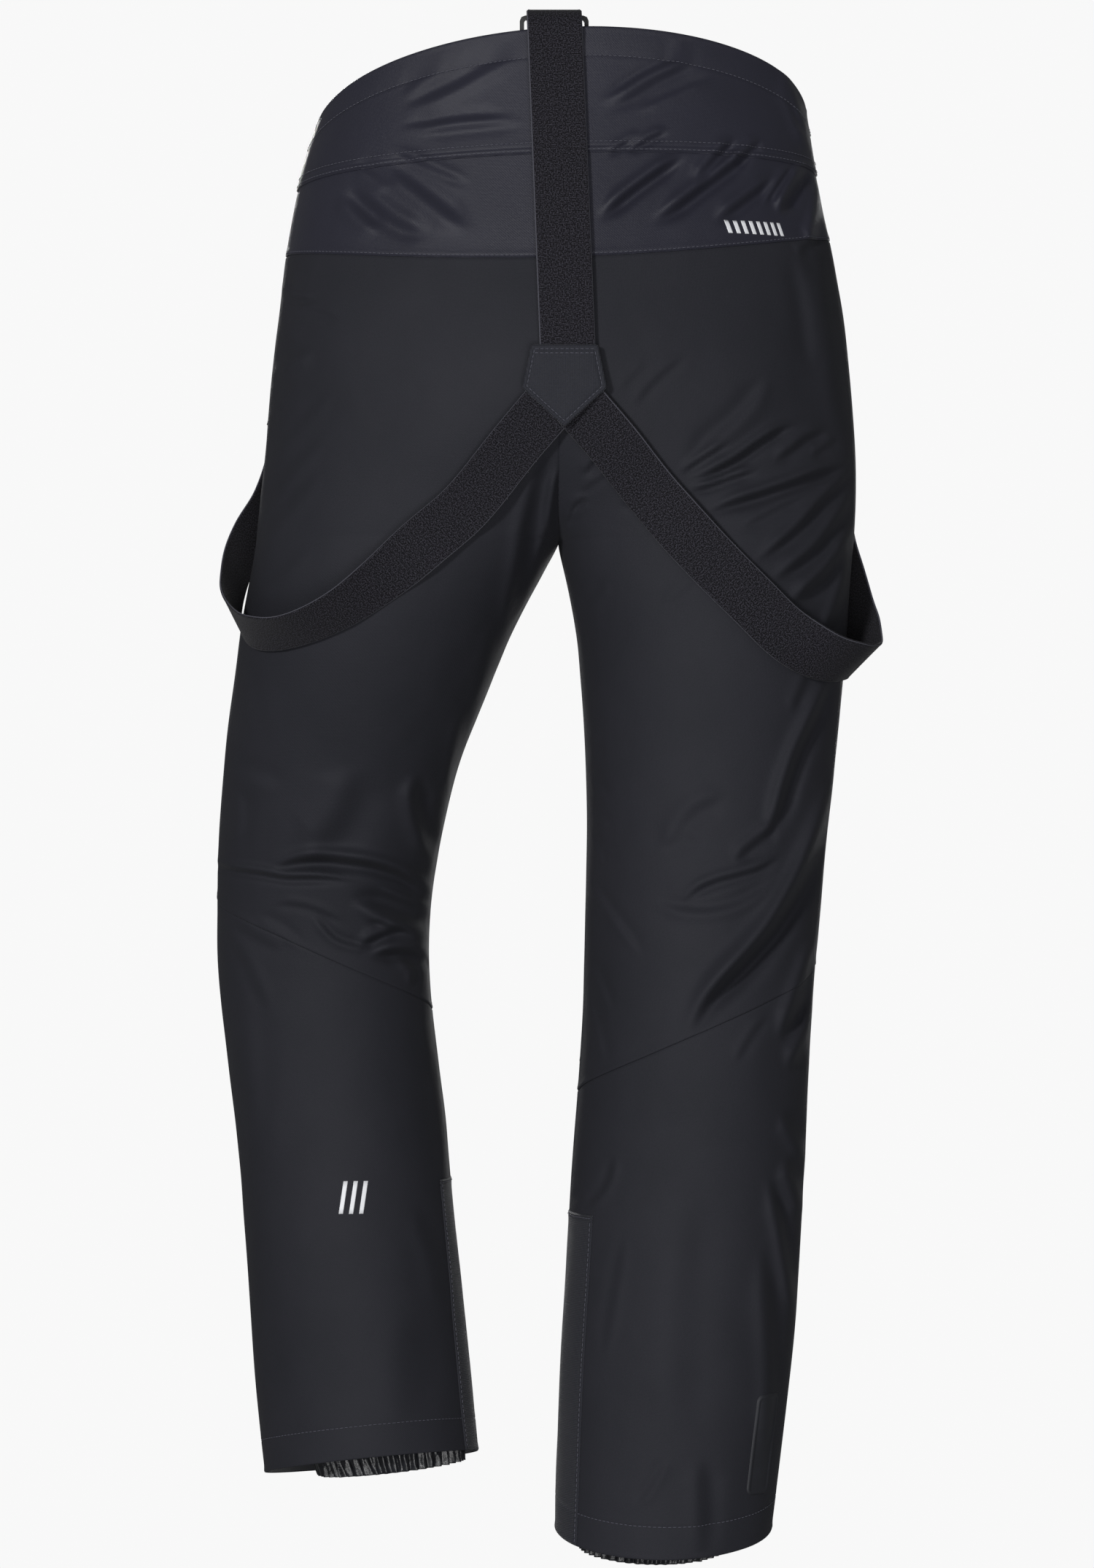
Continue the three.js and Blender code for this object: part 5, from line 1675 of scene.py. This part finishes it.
# profiles from the rim to the middle, as [radius or inset, how far back]
TAB_PROFILE = [
    (0.0, 0.0010), (0.0, -0.0005), (0.0006, -0.0010), (0.0014, -0.0013), (0.0022, -0.0012),
    (TAB_STITCHES, -0.0007), (0.0034, -0.0012), (0.0060, -0.0013), (0.0100, -0.0013),
]
SNAP_CAP = [
    (0.0060, 0.0008), (0.0060, -0.0002), (0.0057, -0.0006), (0.0050, -0.0008), (0.0044, -0.0006),
    (0.0038, -0.0005), (0.0030, -0.0007), (0.0018, -0.0010), (0.0006, -0.0011),
]
SNAP_STUD = [
    (0.0045, 0.0005), (0.0045, -0.0003), (0.0040, -0.0005), (0.0026, -0.0005), (0.0022, -0.0008),
    (0.0016, -0.0009), (0.0005, -0.0009),
]


def make_closure():
    low, high = TAB_MIDDLE - TAB_HEIGHT / 2, TAB_MIDDLE + TAB_HEIGHT / 2
    corners = [(TAB_TIP, low), (TAB_ROOT, low), (TAB_ROOT, high), (TAB_TIP, high)]
    face = WAIST_FACE - 0.0028

    def to_space(outline, out):
        return np.stack([outline[:, 0], np.full(len(outline), face + out), outline[:, 1]], -1)

    tab = loft("closure_tab", padded_rings(corners, TAB_CORNER, TAB_PROFILE, to_space))
    lay_flat(tab)
    finish(tab, "yoke_shell", body="waist_tab", replaces=["waist_tab"])
    line = to_space(inset_outline(corners, TAB_CORNER, TAB_STITCHES), -0.0008)
    closed_stitches(("ride", "waist_tab", "yoke_shell"), line, FORWARDS)
    for which, rise in (("upper", SNAP_RISE), ("lower", -SNAP_RISE)):
        place = (TAB_TIP + SNAP_FROM_TIP, TAB_MIDDLE + rise)
        turned(f"snap_dome_{which}", place, WAIST_FACE - 0.005, SNAP_CAP, "waist_tab", f"snap_cap_{which}")
        turned(f"snap_socket_{which}", place, WAIST_FACE - 0.0009, SNAP_STUD, "root", f"snap_stud_{which}")


def turned(name, place, y, outline, body, node):
    """A round metal piece that faces the front, from its [radius, depth] outline."""
    turns = np.linspace(0, 2 * np.pi, SNAP_SIDES, endpoint=False)
    rings = []
    for radius, out in outline:
        x, z = place[0] + radius * np.cos(turns), place[1] + radius * np.sin(turns)
        rings.append(np.stack([x, np.full(SNAP_SIDES, y + out), z], -1))
    finish(loft(name, rings), "metal", body=body, replaces=[node])


# ------------------------------------------------------------------ fittings kept from the CAD

EDGE_ROUNDING = {"plastic": 0.0006, "metal": 0.0004}
OTHER_ROUNDING, ROUNDED_ABOVE = 0.0005, math.radians(30)


def dress_fittings():
    """Gives each fitting that is kept its material and softly rounded edges."""
    slots = {entry["node"]: entry["material_slot"] for entry in frame["record"]["subparts"]}
    for name, node in frame["nodes"].items():
        if node.hide_render:
            continue
        slot = slots[name]
        node.data.materials.clear()
        node.data.materials.append(LOOKS[slot])
        rounding = node.modifiers.new("rounded_edges", "BEVEL")
        rounding.width = EDGE_ROUNDING.get(slot, OTHER_ROUNDING)
        rounding.segments = 3
        rounding.limit_method = "ANGLE"
        rounding.angle_limit = ROUNDED_ABOVE
        rounding.harden_normals = False


make_camera()
make_studio()
make_waist()
for leg_side in (LEFT, RIGHT):
    make_leg(leg_side)
    make_kick_patch(leg_side)
    make_gaiter(leg_side)
    make_pocket(leg_side)
    make_front_strap(leg_side)
    make_waist_loop(leg_side)
make_fly()
make_closure()
make_back_strap()
make_y_patch()
make_marks()
stitch_garment()
make_stitches()
dress_fittings()
